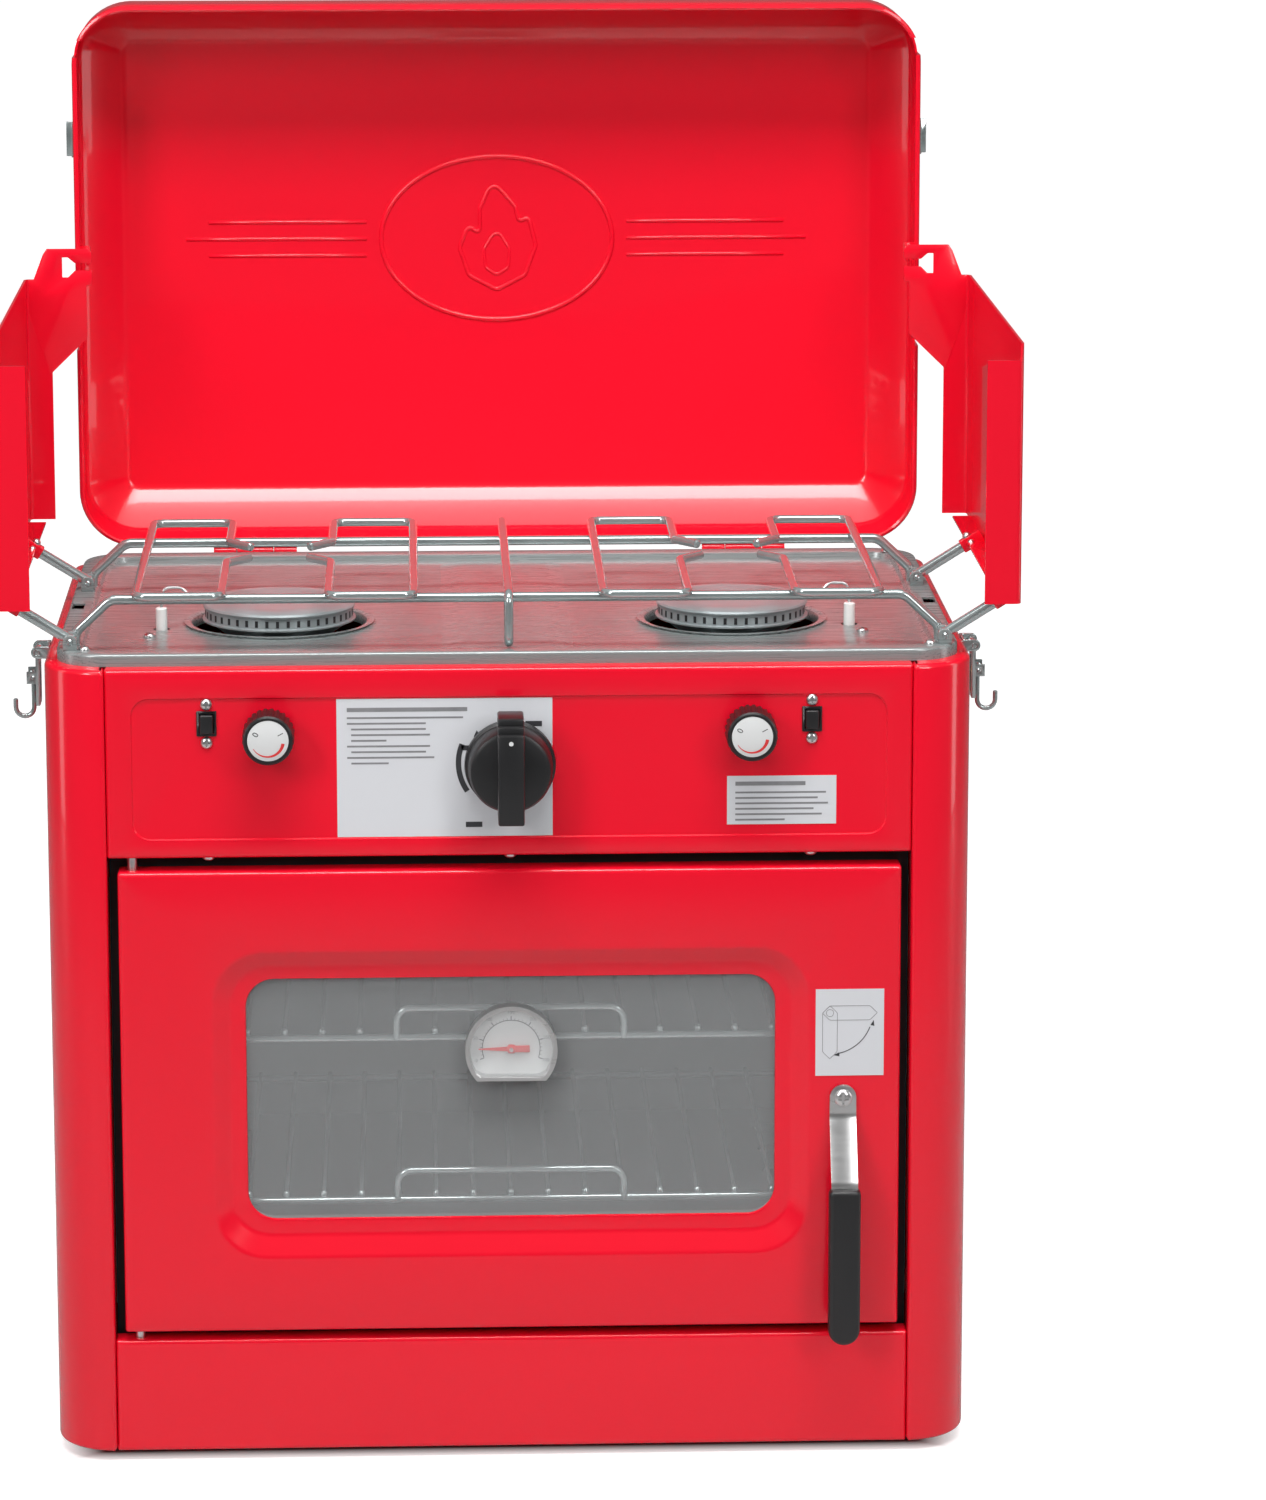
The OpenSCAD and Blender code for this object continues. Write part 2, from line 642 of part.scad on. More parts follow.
module shield() {
    h = shield_z1 - shield_z0;
    x1 = -shield_x;
    translate([x1, shield_y0, shield_z0]) cube([sheet_t, shield_y1 - shield_y0, h]);
    translate([x1, shield_y0 + 16, shield_z0])
        cube([shield_ledge, shield_y1 - shield_y0 - 32, sheet_t]);
    upright(shield_y0, sheet_t)
        polygon([[x1, shield_z0], [x1 + shield_front, shield_z0], [x1 + shield_front, shield_z1 - 9],
            [x1 + 5, shield_z1 - 9], [x1, shield_z1 - 18]]);
    upright(shield_y1 - sheet_t, sheet_t) difference() {
        polygon([[x1, shield_z0], [x1 + shield_back, shield_z0], [x1 + shield_back, bracket_z0],
            [-bracket_in, bracket_z0 + 12], [-bracket_in, bracket_z1 - 2], [-bracket_in - 2, bracket_z1],
            [x1 + 2, bracket_z1], [x1, shield_z1]]);
        polygon([[x1 + 5, bracket_z1 - 19], [x1 + 8, bracket_z1 - 19], [x1 + 11, bracket_z1 - 15],
            [-bracket_in - 4, bracket_z1 - 15], [-bracket_in - 4, bracket_z1 - 11],
            [x1 + 11, bracket_z1 - 11], [x1 + 8, bracket_z1 - 7], [x1 + 5, bracket_z1 - 7]]);
    }
}

module stays() for (y = stay_ys) {
    p = [-stay_x, y, stay_z];
    difference() {
        bar(p, p + [-(shield_x - stay_x) + 4, 0, 20], stay_r);
        translate([-shield_x - 10, y - 5, shield_z0]) cube([40, 10, 20]);
    }
    translate(p) sphere(3.1, $fn = 32);
    y_pin(-stay_x, y - 6.2, stay_z, 12.4, stay_pin_r);
}

module left_shield() color(RED) placed() shield();

module right_shield() color(RED) placed() mirror([1, 0, 0]) shield();

module left_stays() color(STEEL) placed() stays();

module right_stays() color(STEEL) placed() mirror([1, 0, 0]) stays();

// ---------- oven door ----------

module door_skin() color(RED) placed() difference() {
    union() {
        upright(door_y, sheet_t) difference() {
            translate([0, (door_z0 + door_z1) / 2]) round_rect(door_w, door_h, 1);
            translate([0, window_z]) round_rect(recess_w, recess_h, 24);
        }
        upright(door_y, door_t) translate([0, (door_z0 + door_z1) / 2]) difference() {
            round_rect(door_w, door_h, 1);
            square([door_w - 2 * sheet_t, door_h - 2 * sheet_t], center = true);
        }
        upright(door_y + eps, recess_d + sheet_t - eps) translate([0, window_z]) difference() {
            round_rect(recess_w + 2 * sheet_t, recess_h + 2 * sheet_t, 24 + sheet_t);
            round_rect(recess_w, recess_h, 24);
        }
        upright(door_y + recess_d, sheet_t) translate([0, window_z]) difference() {
            round_rect(recess_w + 1, recess_h + 1, 24);
            round_rect(window_w, window_h, 15);
        }
    }
    translate([door_axis[0], door_axis[1], door_z0 - 1]) cylinder(h = door_h + 2, r = pin_r + running);
    y_pin(handle_x, door_y - 1, handle_z, 5, 4 + running);
}

module door_liner() color(STEEL) placed() difference() {
    upright(door_y + door_t - 1, 1) translate([0, (door_z0 + door_z1) / 2]) difference() {
        square([door_w - 2 * sheet_t, door_h - 2 * sheet_t], center = true);
        translate([0, window_z - (door_z0 + door_z1) / 2]) round_rect(window_w + 4, window_h + 4, 15);
    }
    y_pin(handle_x, door_y, handle_z, 20, 4 + running);
}

module door_glass() color("lightblue", 0.4) placed() difference() {
    upright(glass_y, glass_t) translate([0, window_z]) round_rect(window_w + 16, window_h + 16, 10);
    y_pin(0, glass_y - 1, gauge_z, 10, 4);
}

module glass_frame() color(STEEL) placed()
    upright(glass_y + glass_t, door_t - 1 - recess_d - sheet_t - glass_t) translate([0, window_z])
        difference() {
            round_rect(window_w + 24, window_h + 24, 12);
            round_rect(window_w + 4, window_h + 4, 15);
        }

module gauge_outline(r) intersection() {
    circle(r, $fn = 64);
    translate([-r, -gauge_cut + gauge_r - r]) square([2 * r, 3 * r]);
}

module gauge_case() color(STEEL) placed() {
    difference() {
        upright(glass_y - gauge_d, gauge_d) translate([0, gauge_z]) gauge_outline(gauge_r);
        upright(glass_y - gauge_d - 1, gauge_d) translate([0, gauge_z]) gauge_outline(gauge_r - gauge_wall);
    }
    y_pin(0, glass_y - eps, gauge_z, glass_t + 2, 4);
    y_pin(0, glass_y + glass_t, gauge_z, 2, 9);
    y_pin(0, glass_y - 6, gauge_z, 6, 0.9);
}

module gauge_dial() color("white") placed() difference() {
    upright(glass_y - 2, 1) translate([0, gauge_z]) gauge_outline(gauge_r - gauge_wall);
    y_pin(0, glass_y - 5, gauge_z, 6, 0.9);
}

module gauge_lens() color("lightblue", 0.3) placed()
    upright(glass_y - gauge_d + 0.4, 1) translate([0, gauge_z]) gauge_outline(gauge_r - gauge_wall);

module gauge_needle() color("red") placed() translate([0, glass_y - 3, gauge_z]) rotate([90, 0, 0]) difference() {
    union() {
        cylinder(h = 1, r = 2.4);
        linear_extrude(0.6) polygon([[-15, -0.3], [0, -1.6], [9.5, -1.8], [9.5, 1.8], [0, 1.6], [-15, 0.3]]);
    }
    translate([0, 0, -1]) cylinder(h = 3, r = 0.9 + running);
}

// ---------- door handle ----------

module handle_arm() color(STEEL) placed() {
    y0 = door_y - 1;
    x0 = handle_x - handle_w / 2;
    difference() {
        union() {
            y_pin(handle_x, y0 - 1.5, handle_z, 1.5, handle_w / 2);
            translate([x0, 0, 0]) rotate([90, 0, 90]) linear_extrude(handle_w) polygon([
                [y0, handle_z], [y0 - 1.5, handle_z], [y0 - 1.5, handle_z - 9.5],
                [y0 - handle_off, handle_z - 40], [y0 - handle_off, handle_z - handle_len + 8],
                [y0 - handle_off + 1.5, handle_z - handle_len + 8], [y0 - handle_off + 1.5, handle_z - 40],
                [y0, handle_z - 9]]);
        }
        y_pin(handle_x, y0 - 3, handle_z, 5, 3.2);
    }
    translate([handle_x, y0 - 1.5, handle_z]) rotate([90, 0, 0]) screw_head(4.2);
}

module handle_grip() color(BLACK) placed() {
    y0 = door_y - 1 - handle_off + 0.75;
    z0 = handle_z - handle_len;
    difference() {
        union() {
            translate([handle_x - 7.75, y0 - 4.5, z0 + 7]) cube([15.5, 9, 71]);
            y_pin(handle_x, y0 - 4.5, z0 + 7, 9, 7.75);
        }
        translate([handle_x - handle_w / 2 - 0.01, y0 - 0.76, z0 + 7.99])
            cube([handle_w + 0.02, 1.52, 80]);
    }
}

module handle_cam() color(STEEL) placed() {
    y_pin(handle_x, door_y - 2.5, handle_z, 2.5 + door_t + 1.5, 3.2);
    y_pin(handle_x, door_y - 1, handle_z, door_t + 1, 4);
    translate([handle_x, door_y + door_t + 0.4, handle_z - 6]) cube([24, 1.5, 12]);
    y_pin(handle_x, door_y + door_t + 0.4, handle_z, 1.5, 8);
}

// ---------- controls ----------

module small_knob(x) {
    y1 = panel_y + emboss_d - knob_gap + 1;
    color(BLACK) placed() difference() {
        y_pin(x, y1 - knob_l, knob_z, knob_l, knob_d / 2);
        for (a = [0 : 20 : 359]) translate([x, 0, knob_z]) rotate([0, a, 0])
            y_pin(knob_d / 2 + 0.6, y1 - knob_l + 3, 0, knob_l, 1.3, $fn = 16);
    }
    color(STEEL) placed() y_pin(x, y1, knob_z, valve_y0 + 12 - y1, stem_r);
}

module left_knob() small_knob(-knob_x);

module right_knob() small_knob(knob_x);

module oven_stem() color(BRASS) placed()
    y_pin(0, front_y - 16, oven_knob_z, valve_y0 + 14 - front_y + 16, stem_r + 1);

module oven_knob() color(BLACK) placed() difference() {
    y1 = panel_y + emboss_d - knob_gap;
    union() {
        y_pin(0, y1 - 4, oven_knob_z, 4, oven_knob_d / 2 + 1.5);
        y_pin(0, y1 - 19, oven_knob_z, 15 + eps, oven_knob_d / 2);
        translate([-grip_w / 2, y1 - 34, oven_knob_z - 24]) cube([grip_w, 26, 46]);
        y_pin(0, y1 - 34, oven_knob_z + 22, 26, grip_w / 2);
    }
    y_pin(0, front_y - 20, oven_knob_z, 30, stem_r + 1 + running);
}

module button(x) color(BLACK) placed() {
    y0 = panel_y + emboss_d - 3.5;
    translate([x - button_w / 2, y0, button_z - button_h / 2]) cube([button_w, 20, button_h]);
}

module left_button() button(-button_x);

module right_button() button(button_x);

// ---------- side latches ----------

module latch_bases() color(STEEL) placed() both_sides() difference() {
    union() {
        translate([latch_x, latch_y - 9, top_z - 26]) cube([1.4, 18, 25]);
        for (dy = [-9, 7.5]) {
            translate([latch_x, latch_y + dy, latch_pin[1] - 3]) cube([6, 1.5, 6]);
            y_pin(latch_pin[0], latch_y + dy, latch_pin[1], 1.5, 3);
        }
    }
    y_pin(latch_pin[0], latch_y - 12, latch_pin[1], 24, 1.2 + running);
}

module lever() {
    difference() {
        union() {
            y_pin(latch_pin[0], latch_y - 7, latch_pin[1], 14, 2.4);
            translate([latch_pin[0] - 1, latch_y - 7, latch_pin[1] - 27]) cube([2, 14, 26]);
            for (dy = [-7, 5.5])
                translate([latch_pin[0] - 1, latch_y + dy, hook_pin[1] - 3]) cube([6.5, 1.5, 6]);
        }
        y_pin(hook_pin[0], latch_y - 12, hook_pin[1], 24, 1 + running);
        translate([latch_pin[0] - 3, latch_y - 3, latch_pin[1] - 24]) cube([6, 6, 18]);
    }
    y_pin(latch_pin[0], latch_y - 9, latch_pin[1], 18, 1.2);
}

// Eye, straight shank, round bend and a short upturned tip
module hook() {
    x = hook_pin[0];
    z = hook_pin[1];
    bend_z = z - 16;
    bend_r = 4.5;
    y_pin(x, latch_y - 7, z, 14, 1);
    y_pin(x, latch_y - 1.6, z, 3.2, 2.2);
    bar([x, latch_y, bend_z], [x, latch_y, z - 1], hook_r);
    translate([x + bend_r, latch_y, bend_z]) rotate([90, 0, 0])
        rotate_extrude(angle = -180) translate([bend_r, 0]) circle(hook_r, $fn = 32);
    bar([x + 2 * bend_r, latch_y, bend_z], [x + 2 * bend_r, latch_y, bend_z + 4], hook_r);
}

module left_lever() color(STEEL) placed() mirror([1, 0, 0]) lever();

module right_lever() color(STEEL) placed() lever();

module left_hook() color(STEEL) placed() mirror([1, 0, 0]) hook();

module right_hook() color(STEEL) placed() hook();

casing();
base_pan();
rubber_feet();
kick_panel();
control_panel();
hob_pan();
panel_screws();
hob_screws();
pot_grate();
hob_clips();
burner_bowls();
burner_caps();
mixer_tubes();
burner_valves();
oven_valve();
gas_manifold();
gas_inlet();
electrodes();
igniter_housings();
heat_shield();
oven_liner();
oven_baffle();
oven_burner();
thermocouple();
upper_rack();
lower_rack();
door_pins();
hinge_leaves();
hinge_pins();
latch_bases();
lid_shell();
lid_leaves();
lid_tabs();
lid_keepers();
left_shield();
left_stays();
right_shield();
right_stays();
door_skin();
door_liner();
door_glass();
glass_frame();
gauge_case();
gauge_dial();
gauge_lens();
gauge_needle();
handle_arm();
handle_grip();
handle_cam();
left_knob();
right_knob();
oven_stem();
oven_knob();
left_button();
right_button();
left_lever();
left_hook();
right_lever();
right_hook();
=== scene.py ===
"""Camp stove: the looks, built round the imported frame. Lengths are millimetres, except in add_light."""
import json
import bmesh
import bpy
from math import asin, cos, degrees, pi, radians, sin, sqrt, tan
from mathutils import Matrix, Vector

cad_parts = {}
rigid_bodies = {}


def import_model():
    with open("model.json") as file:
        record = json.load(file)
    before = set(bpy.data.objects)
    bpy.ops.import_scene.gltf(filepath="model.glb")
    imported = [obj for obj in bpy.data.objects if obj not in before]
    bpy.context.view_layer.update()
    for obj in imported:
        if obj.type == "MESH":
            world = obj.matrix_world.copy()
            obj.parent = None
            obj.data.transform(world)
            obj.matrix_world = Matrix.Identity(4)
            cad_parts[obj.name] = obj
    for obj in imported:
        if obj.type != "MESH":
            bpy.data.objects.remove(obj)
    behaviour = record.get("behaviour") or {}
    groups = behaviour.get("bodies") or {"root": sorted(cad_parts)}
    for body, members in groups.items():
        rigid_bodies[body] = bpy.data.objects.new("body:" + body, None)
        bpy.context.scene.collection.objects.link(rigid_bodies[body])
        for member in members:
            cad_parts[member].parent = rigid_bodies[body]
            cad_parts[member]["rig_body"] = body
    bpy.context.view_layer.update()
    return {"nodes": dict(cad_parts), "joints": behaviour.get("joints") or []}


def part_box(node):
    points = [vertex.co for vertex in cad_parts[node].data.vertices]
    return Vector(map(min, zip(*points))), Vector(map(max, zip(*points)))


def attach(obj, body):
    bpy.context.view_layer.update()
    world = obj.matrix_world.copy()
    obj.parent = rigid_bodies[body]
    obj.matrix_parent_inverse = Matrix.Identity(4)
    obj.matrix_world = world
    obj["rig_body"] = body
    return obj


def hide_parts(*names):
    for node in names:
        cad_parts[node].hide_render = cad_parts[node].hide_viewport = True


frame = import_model()
MM = 0.001
SHEET = 1.2  # thickness of painted sheet
FACE_STEP = 0.08  # how far printing stands off its face


# ---------- places, from the frame ----------

def box(node):
    """The two corners of a node's box."""
    low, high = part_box(node)
    return low / MM, high / MM


def middle(node):
    low, high = box(node)
    return (low + high) / 2


PANEL_LOW, PANEL_HIGH = box("control_panel")
DOOR_LOW, DOOR_HIGH = box("door_skin")
GLASS_LOW = box("door_glass")[0]
KICK_LOW, KICK_HIGH = box("kick_panel")
CASE_LOW, CASE_HIGH = box("casing")
HOB_LOW, HOB_HIGH = box("hob_pan")
LID_LOW, LID_HIGH = box("lid_shell")
GRATE_LOW, GRATE_HIGH = box("pot_grate")
CAPS_LOW, CAPS_HIGH = box("burner_caps")
BURNER_R = (CAPS_HIGH.y - CAPS_LOW.y) / 2
BURNER_X = CAPS_HIGH.x - BURNER_R
BURNER_Y = middle("burner_caps").y
HOB_TOP = HOB_HIGH.z
HOB_FLOOR = HOB_TOP - 4
BURNER = (BURNER_X, BURNER_Y, HOB_FLOOR)
LID_TAB_Y = LID_LOW.y - (middle("lid_tabs").z - LID_LOW.z)  # where a lid tab lands when the lid shuts
PRESSED_Y = PANEL_LOW.y + 1.0  # the pressed face of the control panel
WINDOW_Z = middle("door_glass").z
GAUGE_Z = middle("gauge_needle").z
SIDES = (("left", -1), ("right", 1))
STAY_PIN = 6.2  # half the length of a stay's pivot pin
STAY_RUN, STAY_RISE = 31, 19.4
JOINTS = {j["name"]: Vector(j["pos_m"]) / MM for j in frame["joints"] if j.get("pos_m")}


def stay_places(side):
    """Where a wind shield's two stays stand, from front to back."""
    low, high = box(side + "_stays")
    return low.y + STAY_PIN, high.y - STAY_PIN


def stay_start(side, y):
    """A stay's pivot at y, and the way the stay points."""
    pivot = JOINTS[side + "_shield_fold"]
    return Vector((pivot.x, y, pivot.z)), Vector((dict(SIDES)[side] * STAY_RUN, 0, STAY_RISE))


# ---------- shapes: each gives (points, faces) ----------

def ring(w, h, r, cx, cz, y, steps=8):
    """A rounded rectangle in the XZ plane."""
    points = []
    for quarter, (sx, sz) in enumerate([(1, 1), (-1, 1), (-1, -1), (1, -1)]):
        for i in range(steps + 1):
            a = radians(90 * (quarter + i / steps))
            points.append((cx + sx * (w / 2 - r) + r * cos(a), y, cz + sz * (h / 2 - r) + r * sin(a)))
    return points


def rings(w, h, r, cx, cz, profile, steps=8):
    """One ring for each (inset, y) of a profile."""
    return [ring(w - 2 * d, h - 2 * d, max(r - d, 0.4), cx, cz, y, steps) for d, y in profile]


def flat(loop, cy, z):
    """An XZ ring laid flat at height z, with its middle at cy."""
    return [(x, cy + across, z) for x, _, across in loop]


def arc(cx, cy, r, start, end, steps=5):
    """Points on an arc, in degrees."""
    turns = [radians(start + (end - start) * i / steps) for i in range(steps + 1)]
    return [(cx + r * cos(a), cy + r * sin(a)) for a in turns]


def loft(loops, wrap=False, cap=True):
    """Joins closed loops of equal length. wrap joins the last loop to the first; cap fills both ends."""
    count = len(loops[0])
    points = [p for loop in loops for p in loop]
    faces = []
    for k in range(len(loops) if wrap else len(loops) - 1):
        a, b = k * count, (k + 1) % len(loops) * count
        faces += [(a + i, a + (i + 1) % count, b + (i + 1) % count, b + i) for i in range(count)]
    if cap and not wrap:
        faces += [tuple(range(count)), tuple(range(len(points) - count, len(points)))[::-1]]
    return points, faces


def lathe(profile, centre, axis="z", steps=64):
    """Turns (radius, height) points round an axis through centre."""
    loops = []
    for i in range(steps):
        a = 2 * pi * i / steps
        spin = [(r * cos(a), r * sin(a), h) for r, h in profile]
        if axis == "y":
            spin = [(x, -h, y) for x, y, h in spin]
        elif axis == "x":
            spin = [(h, x, y) for x, y, h in spin]
        loops.append([(centre[0] + x, centre[1] + y, centre[2] + z) for x, y, z in spin])
    points = [p for loop in loops for p in loop]
    count = len(profile)
    faces = [(i * count + k, i * count + k + 1, (i + 1) % steps * count + k + 1, (i + 1) % steps * count + k)
             for i in range(steps) for k in range(count - 1)]
    return points, faces


def turned(profile, centre, axis="z", steps=64):
    """A lathe shape whose profile starts and ends on the axis or closes on itself."""
    return lathe([*profile, profile[0]] if profile[0][0] > 0 else profile, centre, axis, steps)


def rod(r, start, end, centre, axis="z", steps=32):
    """A plain cylinder along an axis, from start to end past its centre."""
    return turned([(0, start), (r, start), (r, end), (0, end)], centre, axis, steps)


def prism(outline, y0, y1):
    """A flat outline of (x, z) points, from y0 back to y1."""
    return loft([[(x, y, z) for x, z in outline] for y in (y0, y1)])


def inked(outline, y, sunk=0.1):
    """A printed mark on a face at y: just proud of it, and a little way in."""
    return prism(outline, y - FACE_STEP, y + sunk)


def rounded(points, turn, closed=False, steps=6):
    """Straight runs between points, with each corner rounded to the radius turn."""
    points = [Vector(p) for p in points]
    count = len(points)
    path = [] if closed else [points[0]]
    for i in range(0 if closed else 1, count if closed else count - 1):
        before, corner, after = points[i - 1], points[i], points[(i + 1) % count]
        u, v = (before - corner).normalized(), (after - corner).normalized()
        half = u.angle(v) / 2
        if half > radians(89.5):
            path.append(corner)
            continue
        reach = min(turn / tan(half), (before - corner).length * 0.49, (after - corner).length * 0.49)
        r = reach * tan(half)
        centre = corner + (u + v).normalized() * (r / sin(half))
        a, b = corner + u * reach - centre, corner + v * reach - centre
        path += [centre + a.slerp(b, k / steps).normalized() * r for k in range(steps + 1)]
    return path if closed else [*path, points[-1]]


def tube(path, r, closed=False, sides=12):
    """A round wire along a path."""
    path = [Vector(p) for p in path]
    count = len(path)
    along = []
    for i in range(count):
        a = path[i - 1] if closed or i > 0 else path[i]
        b = path[(i + 1) % count] if closed or i < count - 1 else path[i]
        along.append((b - a).normalized())
    side = along[0].orthogonal().normalized()
    loops = []
    for p, d in zip(path, along):
        side = (side - d * side.dot(d)).normalized()
        other = d.cross(side)
        loops.append([p + (side * cos(a) + other * sin(a)) * r for a in (2 * pi * k / sides for k in range(sides))])
    if not closed:
        for end, sign in ((0, -1), (-1, 1)):
            tip = [path[end] + (q - path[end]) * 0.6 + along[end] * sign * r * 0.35 for q in loops[end]]
            loops = [tip, *loops] if end == 0 else [*loops, tip]
    return loft(loops, wrap=closed)


def ball(centre, r, steps):
    """A small round head or weld."""
    return lathe(arc(0, 0, r, -90, 90, 8), centre, "z", steps)


def slab(low, high):
    """A plain block between two corners."""
    (x0, y0, z0), (x1, y1, z1) = low, high
    return prism([(x0, z0), (x1, z0), (x1, z1), (x0, z1)], y0, y1)


def mirrored(shape):
    points, faces = shape
    return [(-p[0], p[1], p[2]) for p in points], faces


def cross_cut(centre, axis, r):
    """A cross-shaped cutter for a screw's recess."""
    a, b = r * 0.62, r * 0.14
    outline = [(a, b), (b, b), (b, a), (-b, a), (-b, b), (-a, b), (-a, -b), (-b, -b), (-b, -a), (b, -a), (b, -b),
               (a, -b)]
    x, y, z = centre
    depths = (r * 0.3, r * 1.3)
    if axis == "y":
        return loft([[(x + u, y - h, z + v) for u, v in outline] for h in depths])
    return loft([[(x + u, y + v, z + h) for u, v in outline] for h in depths])


def both(shape):
    """The shape and its mirror image."""
    return [shape, mirrored(shape)]


# ---------- pieces ----------

def bake(obj):
    """Applies the object's modifiers to its mesh."""
    bpy.context.view_layer.update()
    graph = bpy.context.evaluated_depsgraph_get()
    mesh = bpy.data.meshes.new_from_object(obj.evaluated_get(graph))
    obj.modifiers.clear()
    obj.data = mesh


def new_object(name, data):
    """An object in the scene."""
    obj = bpy.data.objects.new(name, data)
    bpy.context.scene.collection.objects.link(obj)
    return obj


def from_bmesh(name, bm):
    """A mesh object from a bmesh, which is freed."""
    mesh = bpy.data.meshes.new(name)
    bm.to_mesh(mesh)
    bm.free()
    return new_object(name, mesh)


def raw_object(name, shapes):
    """One mesh object in metres from a list of shapes."""
    bm = bmesh.new()
    for points, faces in shapes:
        verts = [bm.verts.new(Vector(p) * MM) for p in points]
        for face in faces:
            corners = [verts[i] for i in face]
            if len(set(corners)) > 2:
                bm.faces.new(corners)
    bmesh.ops.remove_doubles(bm, verts=bm.verts, dist=1e-7)
    bmesh.ops.recalc_face_normals(bm, faces=bm.faces)
    return from_bmesh(name, bm)


def cut(obj, shapes):
    """Takes shapes out of a closed object."""
    tool = raw_object("cutter", shapes)
    hole = obj.modifiers.new("hole", "BOOLEAN")
    hole.operation = "DIFFERENCE"
    hole.object = tool
    bake(obj)
    bpy.data.objects.remove(tool)


def bevel(obj, width, segments=2, angle=30):
    """Rounds the edges that are sharper than the angle."""
    edge = obj.modifiers.new("edge", "BEVEL")
    edge.width = width * MM
    edge.segments = segments
    edge.limit_method = "ANGLE"
    edge.angle_limit = radians(angle)
    edge.use_clamp_overlap = True
    bake(obj)


def paint(obj, material):
    obj.data.materials.clear()
    obj.data.materials.append(material)


def finish_piece(obj, material, body, nodes=(), angle=35):
    """Shading, material, body and the CAD nodes that the piece stands for."""
    obj.data.shade_smooth()
    obj.data.set_sharp_from_angle(angle=radians(angle))
    paint(obj, material)
    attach(obj, body)
    if nodes:
        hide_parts(*nodes)


def piece(name, shapes, material, body, slot, nodes=(), edge=(), holes=(), angle=35):
    """A visible piece: shapes joined in one mesh, with holes, rounded edges (bevel's arguments) and a body."""
    obj = raw_object(name, shapes)
    if holes:
        cut(obj, holes)
    if edge:
        bevel(obj, *edge)
    finish_piece(obj, material, body, nodes, angle)


def fixed(name, shapes, material, slot, nodes=(), **more):
    """A piece of the cabinet, which stays still."""
    piece(name, shapes, material, "cabinet", slot, nodes, **more)


def softened(node, material, width):
    """The same piece as a CAD node, with its sharp edges rounded a little."""
    source = frame["nodes"][node]
    bm = bmesh.new()
    bm.from_mesh(source.data)
    bmesh.ops.remove_doubles(bm, verts=bm.verts, dist=1e-6)
    bmesh.ops.dissolve_limit(bm, angle_limit=radians(1), verts=bm.verts, edges=bm.edges)
    obj = from_bmesh(node + "_soft", bm)
    bevel(obj, width)
    finish_piece(obj, material, source["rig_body"], [node])


# ---------- materials ----------

def set_sockets(node, **values):
    """Sets a shader node's inputs, with _ for each space in a name."""
    for socket, value in values.items():
        node.inputs[socket.replace("_", " ")].default_value = value


def add_node(tree, kind, operation=None, **values):
    node = tree.nodes.new("ShaderNode" + kind)
    if operation:
        node.operation = operation
    set_sockets(node, **values)
    return node


def join(tree, source, output, target, socket):
    """Links an output of one shader node to an input of another."""
    tree.links.new(source.outputs[output], target.inputs[socket])


def look(name, color, metallic, rough, tone, grain=None, stretch=(1, 1, 1), **sockets):
    """A procedural material. rough is (roughness, spread), tone is (spread of colour, noise scale) and grain is
    (noise scale, strength) of a fine bump."""
    (roughness, rough_vary), (vary, vary_scale) = rough, tone
    mat = bpy.data.materials.new(name)
    mat.use_nodes = True
    tree = mat.node_tree
    shader = tree.nodes["Principled BSDF"]
    set_sockets(shader, Metallic=metallic, **sockets)
    place = add_node(tree, "Mapping", Scale=stretch)
    join(tree, add_node(tree, "TexCoord"), "Object", place, "Vector")
    broad = add_node(tree, "TexNoise", Scale=vary_scale, Detail=4)
    join(tree, place, "Vector", broad, "Vector")
    tint = add_node(tree, "Mix")
    tint.data_type = "RGBA"
    tint.inputs["A"].default_value = (*[c * (1 - vary) for c in color], 1)
    tint.inputs["B"].default_value = (*[min(1, c * (1 + vary)) for c in color], 1)
    join(tree, broad, "Fac", tint, "Factor")
    join(tree, tint, "Result", shader, "Base Color")
    spread = add_node(tree, "MapRange", To_Min=max(0.02, roughness - rough_vary),
                      To_Max=min(1, roughness + rough_vary))
    join(tree, broad, "Fac", spread, "Value")
    join(tree, spread, "Result", shader, "Roughness")
    if grain:
        fine = add_node(tree, "TexNoise", Scale=grain[0], Detail=3)
        join(tree, place, "Vector", fine, "Vector")
        bump = add_node(tree, "Bump", Strength=grain[1], Distance=0.0002)
        join(tree, fine, "Fac", bump, "Height")
        join(tree, bump, "Normal", shader, "Normal")
    return mat


RED = look("red_enamel", (0.80, 0.004, 0.022), 0, (0.22, 0.03), (0.02, 6), (420, 0.06),
           Specular_IOR_Level=0.30, Coat_Weight=0.45, Coat_Roughness=0.04)
HOB = look("brushed_hob", (0.24, 0.27, 0.27), 0.20, (0.28, 0.07), (0.10, 1), (1, 0.12), (25, 900, 900), IOR=1.8)
STEEL = look("sheet_steel", (0.42, 0.43, 0.44), 0.8, (0.45, 0.08), (0.08, 25), (500, 0.05))
LINER = look("oven_steel", (0.30, 0.31, 0.32), 0.35, (0.55, 0.08), (0.10, 9), (300, 0.05))
CHROME = look("chrome_plate", (0.42, 0.48, 0.48), 0.65, (0.10, 0.05), (0.05, 60), (700, 0.04), IOR=2.1)
SATIN = look("satin_steel", (0.66, 0.66, 0.66), 1, (0.30, 0.07), (0.06, 40), (500, 0.08), (1, 1, 8))
ALUMINIUM = look("cast_aluminium", (0.33, 0.37, 0.38), 0.3, (0.38, 0.08), (0.12, 70), (900, 0.15))
BRASS = look("brass", (0.62, 0.42, 0.16), 1, (0.30, 0.08), (0.10, 60), (800, 0.06))
